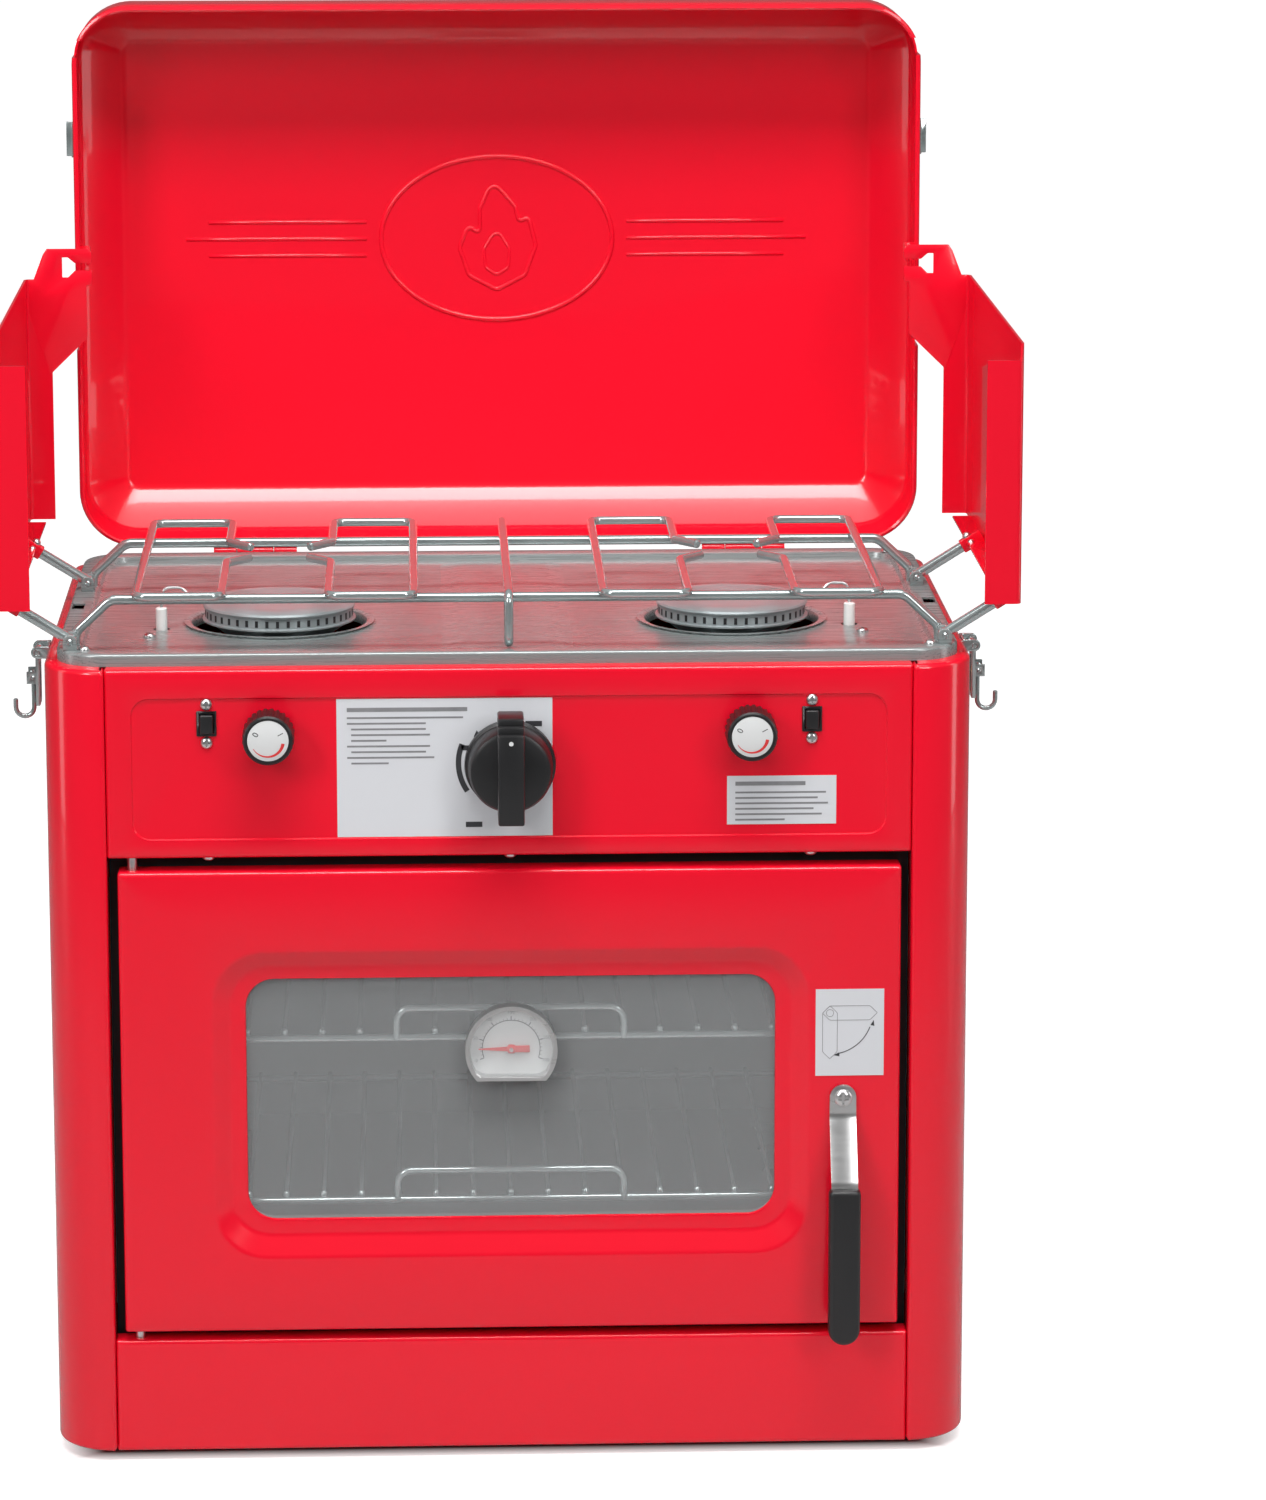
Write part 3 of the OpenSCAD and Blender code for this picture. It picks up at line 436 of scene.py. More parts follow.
BLACK = look("black_plastic", (0.012, 0.012, 0.013), 0, (0.36, 0.06), (0.20, 40), (1600, 0.10))
RUBBER = look("black_rubber", (0.02, 0.02, 0.02), 0, (0.75, 0.08), (0.25, 90), (1200, 0.25))
CERAMIC = look("white_ceramic", (0.82, 0.82, 0.80), 0, (0.22, 0.04), (0.03, 60), (600, 0.04))
PAPER = look("printed_film", (0.64, 0.65, 0.68), 0, (0.42, 0.05), (0.015, 30), (900, 0.05))
DIAL = look("dial_white", (0.66, 0.67, 0.67), 0, (0.40, 0.04), (0.02, 80), (900, 0.03))
INK = look("dark_ink", (0.035, 0.035, 0.04), 0, (0.50, 0.05), (0.2, 200))
GREY_INK = look("grey_ink", (0.22, 0.22, 0.23), 0, (0.50, 0.05), (0.2, 200))
RED_INK = look("red_ink", (0.62, 0.03, 0.03), 0, (0.45, 0.05), (0.05, 90))
# near-black paint for painted shade: under the burner wells, in the port holes and behind the gaps round the door
SHADE_BLACK = look("painted_shade_black", (0.015, 0.015, 0.017), 0, (0.70, 0.05), (0.2, 90))
GLASS = look("window_glass", (0.80, 0.83, 0.84), 0, (0.04, 0.01), (0.01, 30), (30, 0.01), Alpha=0.14, IOR=1.5)


# ---------- camera, light and floor ----------

def add_camera():
    data = bpy.data.cameras.new("camera")
    data.lens = 132.0
    data.shift_y = -0.085
    cam = new_object("camera", data)
    cam.location = Vector((-44.4, -2748.8, 924.8)) * MM
    cam.rotation_euler = (radians(90 - 11.015), 0, radians(-2.292))
    bpy.context.scene.camera = cam


def add_area(name, place, target, size, power, spread=180):
    """A rectangular light; place, target and size are metres."""
    data = bpy.data.lights.new(name, "AREA")
    data.shape = "RECTANGLE"
    data.size, data.size_y = size
    data.energy = power
    data.spread = radians(spread)
    light = new_object(name, data)
    light.location = place
    light.rotation_euler = (Vector(target) - Vector(place)).to_track_quat("-Z", "Y").to_euler()


def add_floor():
    """A floor that curves up into a backdrop."""
    width, near, far, bend = 9000, -5000, 3500, 1500
    side = [(near, 0)] + [(far + y, bend + z) for y, z in arc(0, 0, bend, -90, 0, 16)] + [(far + bend, 6000)]
    points = [(x, y, z) for y, z in side for x in (-width, width)]
    faces = [(2 * i, 2 * i + 1, 2 * i + 3, 2 * i + 2) for i in range(len(side) - 1)]
    obj = raw_object("floor", [(points, faces)])
    obj.data.shade_smooth()
    pale = look("floor_white", (0.52, 0.52, 0.52), 0, (0.6, 0.02), (0.005, 2), Emission_Color=(1, 1, 1, 1))
    tree = pale.node_tree

    # the floor glows a little to look white; the glow fades to nothing under and just round the cabinet, a painted
    # contact shadow
    half = (CASE_HIGH - CASE_LOW) / 2 * MM
    centre = (CASE_HIGH + CASE_LOW) / 2 * MM
    place = add_node(tree, "Mapping", Scale=(1 / half.x, 1 / half.y, 1),
                     Location=(-centre.x / half.x, -centre.y / half.y, 0))
    split = add_node(tree, "SeparateXYZ")
    join(tree, add_node(tree, "TexCoord"), "Object", place, "Vector")
    join(tree, place, "Vector", split, "Vector")
    far = add_node(tree, "Math", "MAXIMUM")
    for i, side in enumerate("XY"):
        size = add_node(tree, "Math", "ABSOLUTE")
        join(tree, split, side, size, 0)
        join(tree, size, "Value", far, i)
    # painted contact shadow: no glow inside the cabinet's box, rising just past its edges
    painted_shadow_fade = add_node(tree, "MapRange", From_Min=0.90, From_Max=1.02, To_Max=0.90)
    join(tree, far, "Value", painted_shadow_fade, "Value")
    glow = add_node(tree, "Math", "MULTIPLY")
    join(tree, add_node(tree, "LightPath"), "Is Camera Ray", glow, 0)
    join(tree, painted_shadow_fade, "Result", glow, 1)
    join(tree, glow, "Value", tree.nodes["Principled BSDF"], "Emission Strength")
    obj.data.materials.append(pale)


def add_world():
    """A sky that is bright above and dim low down, so that metal shows light and dark; plain white behind."""
    world = bpy.data.worlds.new("studio")
    bpy.context.scene.world = world
    world.use_nodes = True
    tree = world.node_tree
    sky = tree.nodes["Background"]
    split = add_node(tree, "SeparateXYZ")
    ramp = add_node(tree, "ValToRGB")
    for end, (position, grey) in zip(ramp.color_ramp.elements, ((0.0, 0.20), (0.75, 1))):
        end.position = position
        end.color = (grey, grey, grey, 1)
    join(tree, add_node(tree, "TexCoord"), "Generated", split, "Vector")
    join(tree, split, "Z", ramp, "Fac")
    join(tree, ramp, "Color", sky, "Color")
    set_sockets(sky, Strength=0.30)
    plain = add_node(tree, "Background", Color=(1, 1, 1, 1), Strength=1.0)
    choose = add_node(tree, "MixShader")
    join(tree, add_node(tree, "LightPath"), "Is Camera Ray", choose, "Fac")
    join(tree, sky, "Background", choose, 1)
    join(tree, plain, "Background", choose, 2)
    join(tree, choose, "Shader", tree.nodes["World Output"], "Surface")


def add_light():
    add_area("overhead", (0, -0.7, 2.3), (0, -0.05, 0.35), (2.0, 1.0), 7.2, 120)
    add_area("top_strip", (0, -0.86, 2.1), (0, 0.1, 0.45), (1.5, 0.4), 9, 100)
    add_area("front_left", (-1.8, -2.3, 1.9), (0, 0, 0.68), (0.6, 1.4), 7.4, 80)
    add_area("front_right", (1.6, -2.5, 1.8), (0, 0, 0.68), (0.6, 1.4), 4.6, 80)
    add_area("side_left", (-2.2, -0.1, 0.8), (0, 0, 0.35), (0.4, 1.6), 5)
    add_area("side_right", (2.2, -0.1, 0.8), (0, 0, 0.35), (0.4, 1.6), 6)
    bpy.context.scene.view_settings.view_transform = "Standard"


add_camera()
add_world()
add_light()
add_floor()


# ---------- cabinet ----------

def casing():
    """The painted wrapper: returns and columns at the front, round the sides and back, with both flanges."""
    column, back_r, lip, flange, returns = 30, 12, 2.4, 12, 5
    half = CASE_HIGH.x
    inner = half - column
    (y0, z0), (y1, z1) = CASE_LOW.yz, CASE_HIGH.yz
    side = [(inner, y0 + 13)] + arc(inner + 2, y0 + 2, 2, 180, 270, 4)
    side += arc(inner, y0 + column, column, -85, 0, 14) + arc(half - back_r, y1 - back_r, back_r, 0, 90, 6)
    path = side + [(-x, y) for x, y in reversed(side)]
    profile = [(flange, z0)] + arc(lip, z0 + lip, lip, 270, 180, 4) + arc(lip, z1 - lip, lip, 180, 90, 4)
    profile += [(flange, z1), (flange, z1 - SHEET), (SHEET + 1.2, z1 - SHEET), (SHEET, z1 - lip), (SHEET, z0 + lip),
                (SHEET + 1.2, z0 + SHEET), (flange, z0 + SHEET)]
    loops = []
    for i, (x, y) in enumerate(path):
        a, b = path[max(i - 1, 0)], path[min(i + 1, len(path) - 1)]
        along = Vector((b[0] - a[0], b[1] - a[1])).normalized()
        inward = Vector((-along.y, along.x))
        reach = SHEET if i < returns or i >= len(path) - returns else flange
        loops.append([(x + inward.x * min(d, reach), y + inward.y * min(d, reach), z) for d, z in profile])
    holes = []
    for i in range(9):
        z = 122.5 + i * 22
        for x in (-110, 110):
            outline = arc(x + 27.5, z, 2.5, -90, 90, 6) + arc(x - 27.5, z, 2.5, 90, 270, 6)
            holes.append(prism(outline, y1 - 6, y1 + 6))
    holes += both(slab((209.5, LID_TAB_Y - 8, z1 - 5), (220, LID_TAB_Y + 8, z1 + 3)))
    inlet = middle("gas_inlet")
    holes.append(rod(7.4, -12, 12, (half, inlet.y, inlet.z), "x"))
    fixed("casing_skin", [loft(loops)], RED, "red_paint", ["casing"], holes=holes)


def pressed_panel(name, low, high, depth, recess, nodes, holes=()):
    """A sheet with rolled edges and, if recess is given, a shallow pressed area (w, h, r, cz, deep, slope)."""
    w, h = high.x - low.x - 0.3, high.z - low.z
    cx, cz = (low.x + high.x) / 2, (low.z + high.z) / 2
    y, roll = low.y, 2.2
    loops = rings(w, h, 1.2, cx, cz, [(0, y + depth)] + arc(roll, y + roll, roll, 180, 270, 5))
    back = rings(w, h, 1.2, cx, cz, [(SHEET, y + depth), (SHEET, y + roll + 0.6), (roll + 0.8, y + SHEET)])
    if recess:
        *size, rz, deep, slope = recess
        bend = deep * 0.35
        shape = [(-1.2, y), (0, y + bend * 0.4), (slope - 1.0, y + deep - bend * 0.3), (slope + 0.6, y + deep)]
        loops += rings(*size, cx, rz, shape)
        back += rings(*size, cx, rz, [(-1.2, y + SHEET), (slope, y + deep + SHEET)])
    fixed(name, [loft(back[::-1] + loops)], RED, "red_paint", nodes, holes=holes)


def fronts():
    """The control panel with its holes, and the kick panel."""
    holes = []
    for joint, r in (("left_knob_turn", 5), ("right_knob_turn", 5), ("oven_knob_turn", 6)):
        holes.append(rod(r, -12, 12, (JOINTS[joint].x, PANEL_LOW.y, JOINTS[joint].z), "y"))
    for side, _ in SIDES:
        low, high = box(side + "_button")
        holes.append(slab((low.x - 0.4, PANEL_LOW.y - 3, low.z - 0.4), (high.x + 0.4, PANEL_LOW.y + 8, high.z + 0.4)))
    pressed_panel("front_panel", PANEL_LOW, PANEL_HIGH, 11, (365, 70, 9, 349, 1.0, 1.6), ["control_panel"], holes)
    pressed_panel("kick_skin", KICK_LOW, KICK_HIGH, 12, None, ["kick_panel"])


def hob():
    """The steel hob: a rolled lip, a border, a sunk floor with pressed rims round the burners."""
    w, d = HOB_HIGH.x - HOB_LOW.x, HOB_HIGH.y - HOB_LOW.y
    cy = (HOB_HIGH.y + HOB_LOW.y) / 2
    z0 = CASE_HIGH.z

    def flat_rings(profile):
        """Rings lying flat: each is (inset, z)."""
        return [flat(ring(w - 2 * i, d - 2 * i, max(24 - i, 3), 0, 0, 0, 12), cy, z) for i, z in profile]

    step = [(10.5, HOB_TOP), (11.6, HOB_TOP - 0.5), (12.6, HOB_FLOOR + 0.7), (14.2, HOB_FLOOR)]
    top = flat_rings([(0, z0)] + arc(1.5, HOB_TOP - 1.5, 1.5, 180, 90, 4) + step)
    under = flat_rings([(1, z0), (1, HOB_TOP - 2.2), (2, HOB_TOP - 1), (10, HOB_TOP - 1), (12, HOB_FLOOR - 0.6),
                        (14, HOB_FLOOR - 1)])
    well = BURNER_R + 10
    holes = both(rod(well, -9, 9, BURNER, "z", 96))
    for _, side in SIDES:
        x = side * 214.5
        holes.append(slab((x - 3, LID_TAB_Y - 7, z0 - 4), (x + 3, LID_TAB_Y + 7, HOB_TOP + 4)))
        holes.append(rod(4.2, -9, 9, (side * 171, middle("electrodes").y, HOB_FLOOR)))
    fixed("hob_plate", [loft(under[::-1] + top)], HOB, "hob_steel", ["hob_pan"], holes=holes)
    inner = BURNER_R + 5
    rim = [(well + 0.5, 0.02), (well - 1.5, 0.5), (inner + 4.5, 1.6), (inner + 2.5, 1.7), (inner + 0.8, 1.0),
           (inner, -0.6), (inner, -4), (inner + 0.9, -4), (inner + 0.9, -0.8), (inner + 3, 0.7), (well - 2, -0.6),
           (well + 0.5, -0.9)]
    fixed("burner_rims", both(turned(rim, BURNER, "z", 96)), HOB, "hob_steel")
    loops = [flat(ring(64 - 2 * i, d - 34 - 2 * i, 12 - i * 0.6, 0, 0, 0), cy + 2, HOB_FLOOR + up)
             for i, up in ((0, 0.01), (4, 0.25), (9, 0.9), (13, 1.1))]
    fixed("hob_ridge", [loft(loops)], HOB, "hob_steel")


def grate():
    """Two long rails with the pot supports welded across them."""
    wire, thin = 2.5, 2.25
    top = GRATE_HIGH.z - thin
    rail_z = top - wire - thin
    end = GRATE_HIGH.x - wire
    shapes = []
    for y in (BURNER_Y - 73, BURNER_Y + 82):
        half = [(end, HOB_TOP - 0.3), (end, HOB_TOP + 6), (end - 17, rail_z)]
        path = [(-x, y, z) for x, z in half] + [(x, y, z) for x, z in half[::-1]]
        shapes.append(tube(rounded(path, 9), wire, sides=14))
    front, back = GRATE_LOW.y + thin, GRATE_HIGH.y - thin
    for centre in (-BURNER_X, BURNER_X):
        for side in (-1, 1):
            outer, inner, tip = centre + side * 67, centre + side * 26, centre + side * 15
            path = [(tip, BURNER_Y + 42), (inner, BURNER_Y + 56), (inner, back), (outer, back), (outer, front),
                    (inner, front), (inner, BURNER_Y - 2), (tip, BURNER_Y + 12)]
            shapes.append(tube(rounded([(x, y, top) for x, y in path], 5.5), thin, sides=14))
    foot = HOB_TOP + thin
    path = [(0, back, top), (0, front, top), (0, front, foot), (0, front + 10, foot), (0, front + 10, top - 4.6)]
    shapes.append(tube(rounded(path, 5), thin, sides=14))
    fixed("grate_wires", shapes, CHROME, "chrome_wire", ["pot_grate"])


def burners():
    """Each burner: a spun bowl, a ring of ports and a shallow cap, with a tray and brackets below; the tray and the
    ports are painted black as painted shade.
    """
    z, r = CAPS_LOW.z + 1, BURNER_R
    cap = [(0, 2.6), (r - 14, 2.6), (r - 9, 3.2), (r - 3, 2.6), (r - 0.6, 1.6), (r, 0.6), (r - 0.4, -0.4),
           (r - 2.6, -0.8), (0, -0.8)]
    bowl = [(r - 1.2, -0.6), (r - 1.2, -5.4), (r + 0.2, -5.9), (r + 0.2, -6.6), (r - 3, -7.4), (r - 9, -12),
            (13, -19), (12, -24), (7, -24), (7, -17), (r - 11, -10), (r - 3, -6), (r - 3, -0.6)]
    heads = [shape for profile in (cap, bowl) for shape in both(turned(profile, (BURNER_X, BURNER_Y, z), "z", 96))]
    fixed("burner_heads", heads, ALUMINIUM, "burner_metal", ["burner_caps", "burner_bowls"])
    # the tray is painted near-black: painted shade seen through the gap round each burner
    tray = [(12.4, -15.6), (r + 8, -15.6), (r + 8, -14.6), (12.4, -14.6)]
    trays = both(turned(tray, BURNER))
    fixed("burner_trays_shade", trays, SHADE_BLACK, "plain_steel")
    arms = []
    for turn in (70, 110, 200, 250, 290, 340):
        a = radians(turn)
        out, side = Vector((cos(a), sin(a))), Vector((-sin(a), cos(a)))
        start, end = r - 8, r + 6.5
        foot = [(BURNER_X + out.x * d + side.x * w, BURNER_Y + out.y * d + side.y * w)
                for d, w in ((start, -3), (end, -3), (end, 3), (start, 3))]
        arms += both(loft([[(x, y, HOB_FLOOR + up) for x, y in foot] for up in (-4.4, -3.4)]))
    fixed("burner_brackets", arms, ALUMINIUM, "burner_metal")
    # each port is a near-black block set in the bowl wall: painted shade standing for the hole
    ports, count = [], 44
    for i in range(count):
        a = 2 * pi * i / count
        dx, dy = cos(a), sin(a)
        side = Vector((-dy, dx)) * 0.75
        for centre in (-BURNER_X, BURNER_X):
            x, y = centre + dx * (r - 1.6), BURNER_Y + dy * (r - 1.6)
            foot = [(x + sign * side.x + dx * out, y + sign * side.y + dy * out)
                    for sign, out in ((-1, 0), (1, 0), (1, 0.55), (-1, 0.55))]
            ports.append(loft([[(px, py, h) for px, py in foot] for h in (z - 4.8, z - 1.6)]))
    fixed("burner_port_shade", ports, SHADE_BLACK, "burner_metal")


def racks():
    """Each oven rack: a frame wire whose front rises as a handle, thin bars and their welds."""
    wire, bar, gap = 1.8, 1.3, 18.5
    for node in ("upper_rack", "lower_rack"):
        low, high = box(node)
        x, y0, y1, z = high.x - 2, low.y + 2, high.y - 2, low.z + 2
        path = [(x, y0, z), (x, y1, z), (-x, y1, z), (-x, y0, z)]
        loop = [(hx, y0 - 0.5, z + up) for hx, up in ((-56, -1), (-56, 15), (56, 15), (56, -1))]
        shapes = [tube(rounded(path, 7, closed=True), wire, closed=True), tube(rounded(loop, 7), wire)]
        for i in range(-8, 9):
            shapes.append(tube([(i * gap, y0 + 1, z + 2.8), (i * gap, y1, z + 2.8)], bar, sides=8))
            shapes.append(ball((i * gap, y0 + 1.5, z + 2.8), 2.0, 10))
        fixed(node + "_wires", shapes, CHROME, "chrome_wire", [node])


def gap_shade_strips():
    """Near-black strips just inside the door opening, seen through the gaps round the door: painted shade for the
    gaps.
    """
    y0, y1 = DOOR_HIGH.y + 3.7, DOOR_HIGH.y + 4.5
    x0, x1 = DOOR_HIGH.x - 6, DOOR_HIGH.x + 4.6
    z0, z1 = KICK_HIGH.z - 3, PANEL_LOW.z + 2
    shapes = both(slab((x0, y0, z0), (x1, y1, z1)))
    shapes += [slab((-x0, y0, z0), (x0, y1, DOOR_LOW.z + 4)), slab((-x0, y0, DOOR_HIGH.z - 4), (x0, y1, z1))]
    fixed("gap_shade_strips", shapes, SHADE_BLACK, "plain_steel")


casing()
fronts()
gap_shade_strips()
hob()
grate()
burners()
racks()


# ---------- lid ----------

def lid():
    """The open lid: a deep pressed tray with a flat inner panel, and line work pressed in the panel."""
    w, h = LID_HIGH.x - LID_LOW.x, LID_HIGH.z - LID_LOW.z
    cz = (LID_LOW.z + LID_HIGH.z) / 2
    y0, y1 = LID_LOW.y, LID_HIGH.y
    corner = 30
    outer = [(0, 1.5), (0, 40), (0.5, 42), (1.9, 44), (18.8, 55.4), (20.6, 57.0), (23, y1 - y0)]
    inner = [(0.5, 0.4), (1.6, 0), (2.6, 0.6), (2.4, 1.8), (1.2, 2.6), (1.2, 39.6), (1.7, 41.6), (2.9, 43.2),
             (20.8, 55.2), (22.0, 56.0), (24, y1 - y0 - SHEET)]
    notches = []
    for y in stay_places("left"):
        z = LID_LOW.z + y0 - y
        notches += both(slab((w / 2 - 8, y0 - 2, z - 4.5), (w / 2 + 2, y0 + 20.5, z + 4.5)))
    shell = loft(rings(w, h, corner, 0, cz, [(d, y0 + y) for d, y in outer[::-1] + inner], 14))
    piece("lid_tray", [shell], RED, "lid", "red_paint", ["lid_shell"], holes=notches, angle=32)

    ridge_y, middle_z = y1 - SHEET + 0.5, cz + 14

    def ridge(outline, r, turn=0):
        path = [(x, ridge_y, middle_z + z) for x, z in outline]
        return tube(rounded(path, turn, closed=True) if turn else path, r, closed=True, sides=8)

    oval = [(62 * cos(a), 44 * sin(a)) for a in (2 * pi * i / 64 for i in range(64))]
    flame = [(-2, 31), (10, 17), (12, 8), (17, 12), (21, -4), (15, -20), (0, -28), (-15, -20), (-20, -5),
             (-15, 8), (-9, 1), (-9, 16)]
    inner_flame = [(0, 5), (7, -6), (6, -16), (0, -20), (-6, -16), (-7, -6)]
    ridges = [ridge(oval, 1.5), ridge(flame, 1.3, 4), ridge(inner_flame, 1.1, 3)]
    for _, side in SIDES:
        for z, length in ((9, 84), (0, 96), (-9, 84)):
            ridges.append(tube([(side * x, ridge_y, middle_z + z) for x in (70, 70 + length)], 1.2, sides=8))
    piece("lid_emblem", ridges, RED, "lid", "red_paint", angle=60)


lid()


# ---------- door ----------

def door():
    """The door's painted skin: rolled edges and a sloped recess round the window."""
    w, h = DOOR_HIGH.x - DOOR_LOW.x, DOOR_HIGH.z - DOOR_LOW.z
    cz = (DOOR_LOW.z + DOOR_HIGH.z) / 2
    y0, y1, glass_y = DOOR_LOW.y, DOOR_HIGH.y, GLASS_LOW.y
    roll = 2.4

    def window(profile):
        """Rings round the window: each is (inset, y)."""
        return [ring(289 - 2 * d, 152 - 2 * d, max(25 - d * 0.72, 3), 0, WINDOW_Z - 1.5 + d * 0.1, y, 10)
                for d, y in profile]

    shell = rings(w, h, 1.5, 0, cz, [(0, y1)] + arc(roll, y0 + roll, roll, 180, 270, 5), 10)
    shell += window([(-2.2, y0), (-0.9, y0 + 0.15), (0.3, y0 + 0.7), (6.6, glass_y - 1.9), (7.8, glass_y - 1.35),
                     (9.2, glass_y - 1.2), (14.2, glass_y - 1.2), (15.1, glass_y - 1.0), (15.5, glass_y - 0.1)])
    shell += window([(14.5, glass_y - 0.05), (8, glass_y - 0.05), (0, y0 + 2)])
    shell += rings(w, h, 1.5, 0, cz, [(roll + 1, y0 + SHEET), (SHEET, y0 + roll + 1), (SHEET, y1)], 10)
    axis, pin = JOINTS["handle_turn"], JOINTS["door_hinge"]
    holes = [rod(4.1, -4, 4, (axis.x, y0, axis.z), "y"), rod(2.8, -200, 200, (pin.x, pin.y, cz), "z", 24)]
    piece("door_panel", [loft(shell, wrap=True)], RED, "oven_door", "red_paint", ["door_skin"], holes=holes)


def handle():
    """A bent steel strap with a rounded end, and a moulded grip."""
    low, high = box("handle_arm")
    cx, half = (low.x + high.x) / 2, (high.x - low.x) / 2
    top = JOINTS["handle_turn"].z
    y_back = DOOR_LOW.y - 1
    bends = [(0, y_back - 0.9, top + half), (0, y_back - 0.9, top - 9.5), (0, y_back - 16.2, top - 40),
             (0, y_back - 16.2, low.z + 3)]
    tip = [Vector((0, y_back - 0.9, top + half * sin(radians(a)))) for a in range(88, 0, -8)]
    path = tip + rounded(bends, 9, steps=8)[1:]
    rows = []
    for i, p in enumerate(path):
        wide = sqrt(max(half ** 2 - (p.z - top) ** 2, 0.3)) if p.z > top else half
        along = (path[min(i + 1, len(path) - 1)] - path[max(i - 1, 0)]).normalized()
        out = Vector((0, along.z, -along.y)) * 0.75
        rows.append([(cx + side * wide, *(p + out * face).yz) for side, face in ((-1, 1), (1, 1), (1, -1), (-1, -1))])
    piece("handle_strap", [loft(rows)], SATIN, "door_handle", "chrome_wire", ["handle_arm"], edge=(0.25,))

    screw = (cx, y_back - 1.7, top)
    head = [(0, 0), (4.3, 0), (4.3, 1.0), (3.6, 1.9), (2.2, 2.4), (0, 2.5)]
    piece("handle_screw", [turned(head, screw, "y", 40)], SATIN, "door_handle", "zinc",
          holes=[cross_cut(screw, "y", 4.3)])

    low, high = box("handle_grip")
    half = (high.x - low.x) / 2
    outline = [(cx + half, high.z), (cx - half, high.z)] + arc(cx, low.z + half, half, 180, 360, 14)
    piece("handle_cover", [prism(outline, low.y, high.y)], BLACK, "door_handle", "black_plastic", ["handle_grip"],
          edge=(2.4, 4, 40))


def printed(name, text, place, size, turn, material, body):
    """A thin printed number that faces the front."""
    curve = bpy.data.curves.new(name, "FONT")
    curve.body = text
    curve.size = size * MM
    curve.align_x, curve.align_y = "CENTER", "CENTER"
    curve.extrude = 0.05 * MM
    source = new_object(name, curve)
    source.location = Vector(place) * MM
    source.rotation_euler = (radians(90), -radians(turn), 0)
    bpy.context.view_layer.update()
    mesh = bpy.data.meshes.new_from_object(source.evaluated_get(bpy.context.evaluated_depsgraph_get()))
    mesh.transform(source.matrix_world)
    bpy.data.objects.remove(source)
    finish_piece(new_object(name, mesh), material, body)


def gauge_outline(r, cut, steps=28):
    """A circle with its bottom cut off flat and the two corners rounded."""
    start = degrees(asin(-cut / r))
    points = arc(0, 0, r, start + 6, 174 - start, steps)
    x, corner = sqrt(r * r - cut * cut), 3.0
    left = [(-x + 0.3, -cut + corner * 0.35), (-x + 1.1, -cut + 0.4), (-x + corner, -cut)]
    return points + left + [(-px, pz) for px, pz in reversed(left)]


def gauge():
    """The oven thermometer: bezel, printed dial, numbers and needle."""
    low, high = box("gauge_case")
    r, cut_low = (high.x - low.x) / 2, GAUGE_Z - low.z
    front, back = low.y, GLASS_LOW.y
    start, sweep, divisions = 200, 220, 30

    def loop(inset, y):
        return [(x, y, GAUGE_Z + z) for x, z in gauge_outline(r - inset, cut_low - inset)]

    shell = [(0.8, back), (0, back - 0.8), (0, front + 2), (0.5, front + 0.6), (1.3, front), (2.0, front + 0.3),
             (2.3, front + 1.2), (2.3, back - 1.6), (2.0, back - 1.2)]
    piece("gauge_bezel", [loft([loop(*step) for step in shell])], SATIN, "oven_door", "zinc")
    plate_y = box("gauge_dial")[0].y
    plate = [loop(2.1, plate_y + 1), loop(2.1, plate_y)]
    piece("gauge_plate", [loft(plate)], DIAL, "oven_door", "gauge_face", ["gauge_dial"])
    marks = []
    for i in range(divisions + 1):
        a = radians(start - sweep * i / divisions)
        r0, r1, half = (14.2, 16.2, 0.22) if i % 5 == 0 else (14.2, 15.2, 0.12)
        c, s = cos(a), sin(a)
        quad = [(reach * c - side * half * s, GAUGE_Z + (reach * s + side * half * c))
                for reach, side in ((r0, 1), (r0, -1), (r1, -1), (r1, 1))]
        marks.append(inked(quad, plate_y, 0.2))
    scale = arc(0, GAUGE_Z, 14.3, start, start - sweep, 40) + arc(0, GAUGE_Z, 13.9, start - sweep, start, 40)
    marks.append(inked(scale, plate_y, 0.2))
    piece("gauge_marks", marks, INK, "oven_door", "gauge_face")
    for i in range(7):
        a = radians(start - sweep * i / 6)
        reach = 17.9 if i in (0, 6) else 18.2
        place = (reach * cos(a), plate_y, GAUGE_Z + reach * sin(a))
        printed("gauge_number_%d" % (50 * i), str(50 * i), place, 2.4, 0, GREY_INK, "oven_door")
    low, high = box("gauge_needle")
    outline = [(-16, -0.25), (-16, 0.25), (-2, 1.1), (-1.2, 2.2), (1.2, 2.2), (2.2, 1.6), (9, 1.7), (9, -1.7),
               (2.2, -1.6), (1.2, -2.2), (-1.2, -2.2), (-2, -1.1)]
    needle = prism([(x, GAUGE_Z + z) for x, z in outline], low.y, high.y)
    hub = turned([(0, 0), (2.2, 0), (1.9, 0.7), (0, 0.9)], (0, high.y - 0.6, GAUGE_Z), "y", 24)
    piece("needle_pointer", [needle, hub], RED_INK, "needle", "needle_red", ["gauge_needle"], edge=(0.1,))


door()
handle()
gauge()


# ---------- controls ----------

def ribbed(cx, cz, y0, y1, r, ribs=24, depth=0.9):
    """A knob with a fluted rim: rings whose radius waves round the circle."""
    steps = ribs * 6

    def loop(radius, wave, y):
        points = []
        for i in range(steps):
            a = 2 * pi * i / steps
            reach = radius - wave * (0.5 + 0.5 * cos(ribs * a)) ** 2
            points.append((cx + reach * cos(a), y, cz + reach * sin(a)))
        return points

    length = y1 - y0
    return loft([loop(r - inset, wave, y) for inset, wave, y in (
        (0.6, depth, y1), (0, depth, y1 - 0.6), (0, depth, y0 + length * 0.22), (0.3, depth * 0.4, y0 + length * 0.14),
        (0.5, 0, y0 + 0.9), (1.3, 0, y0), (2.2, 0, y0 + 0.1), (2.5, 0, y0 + 0.7))])


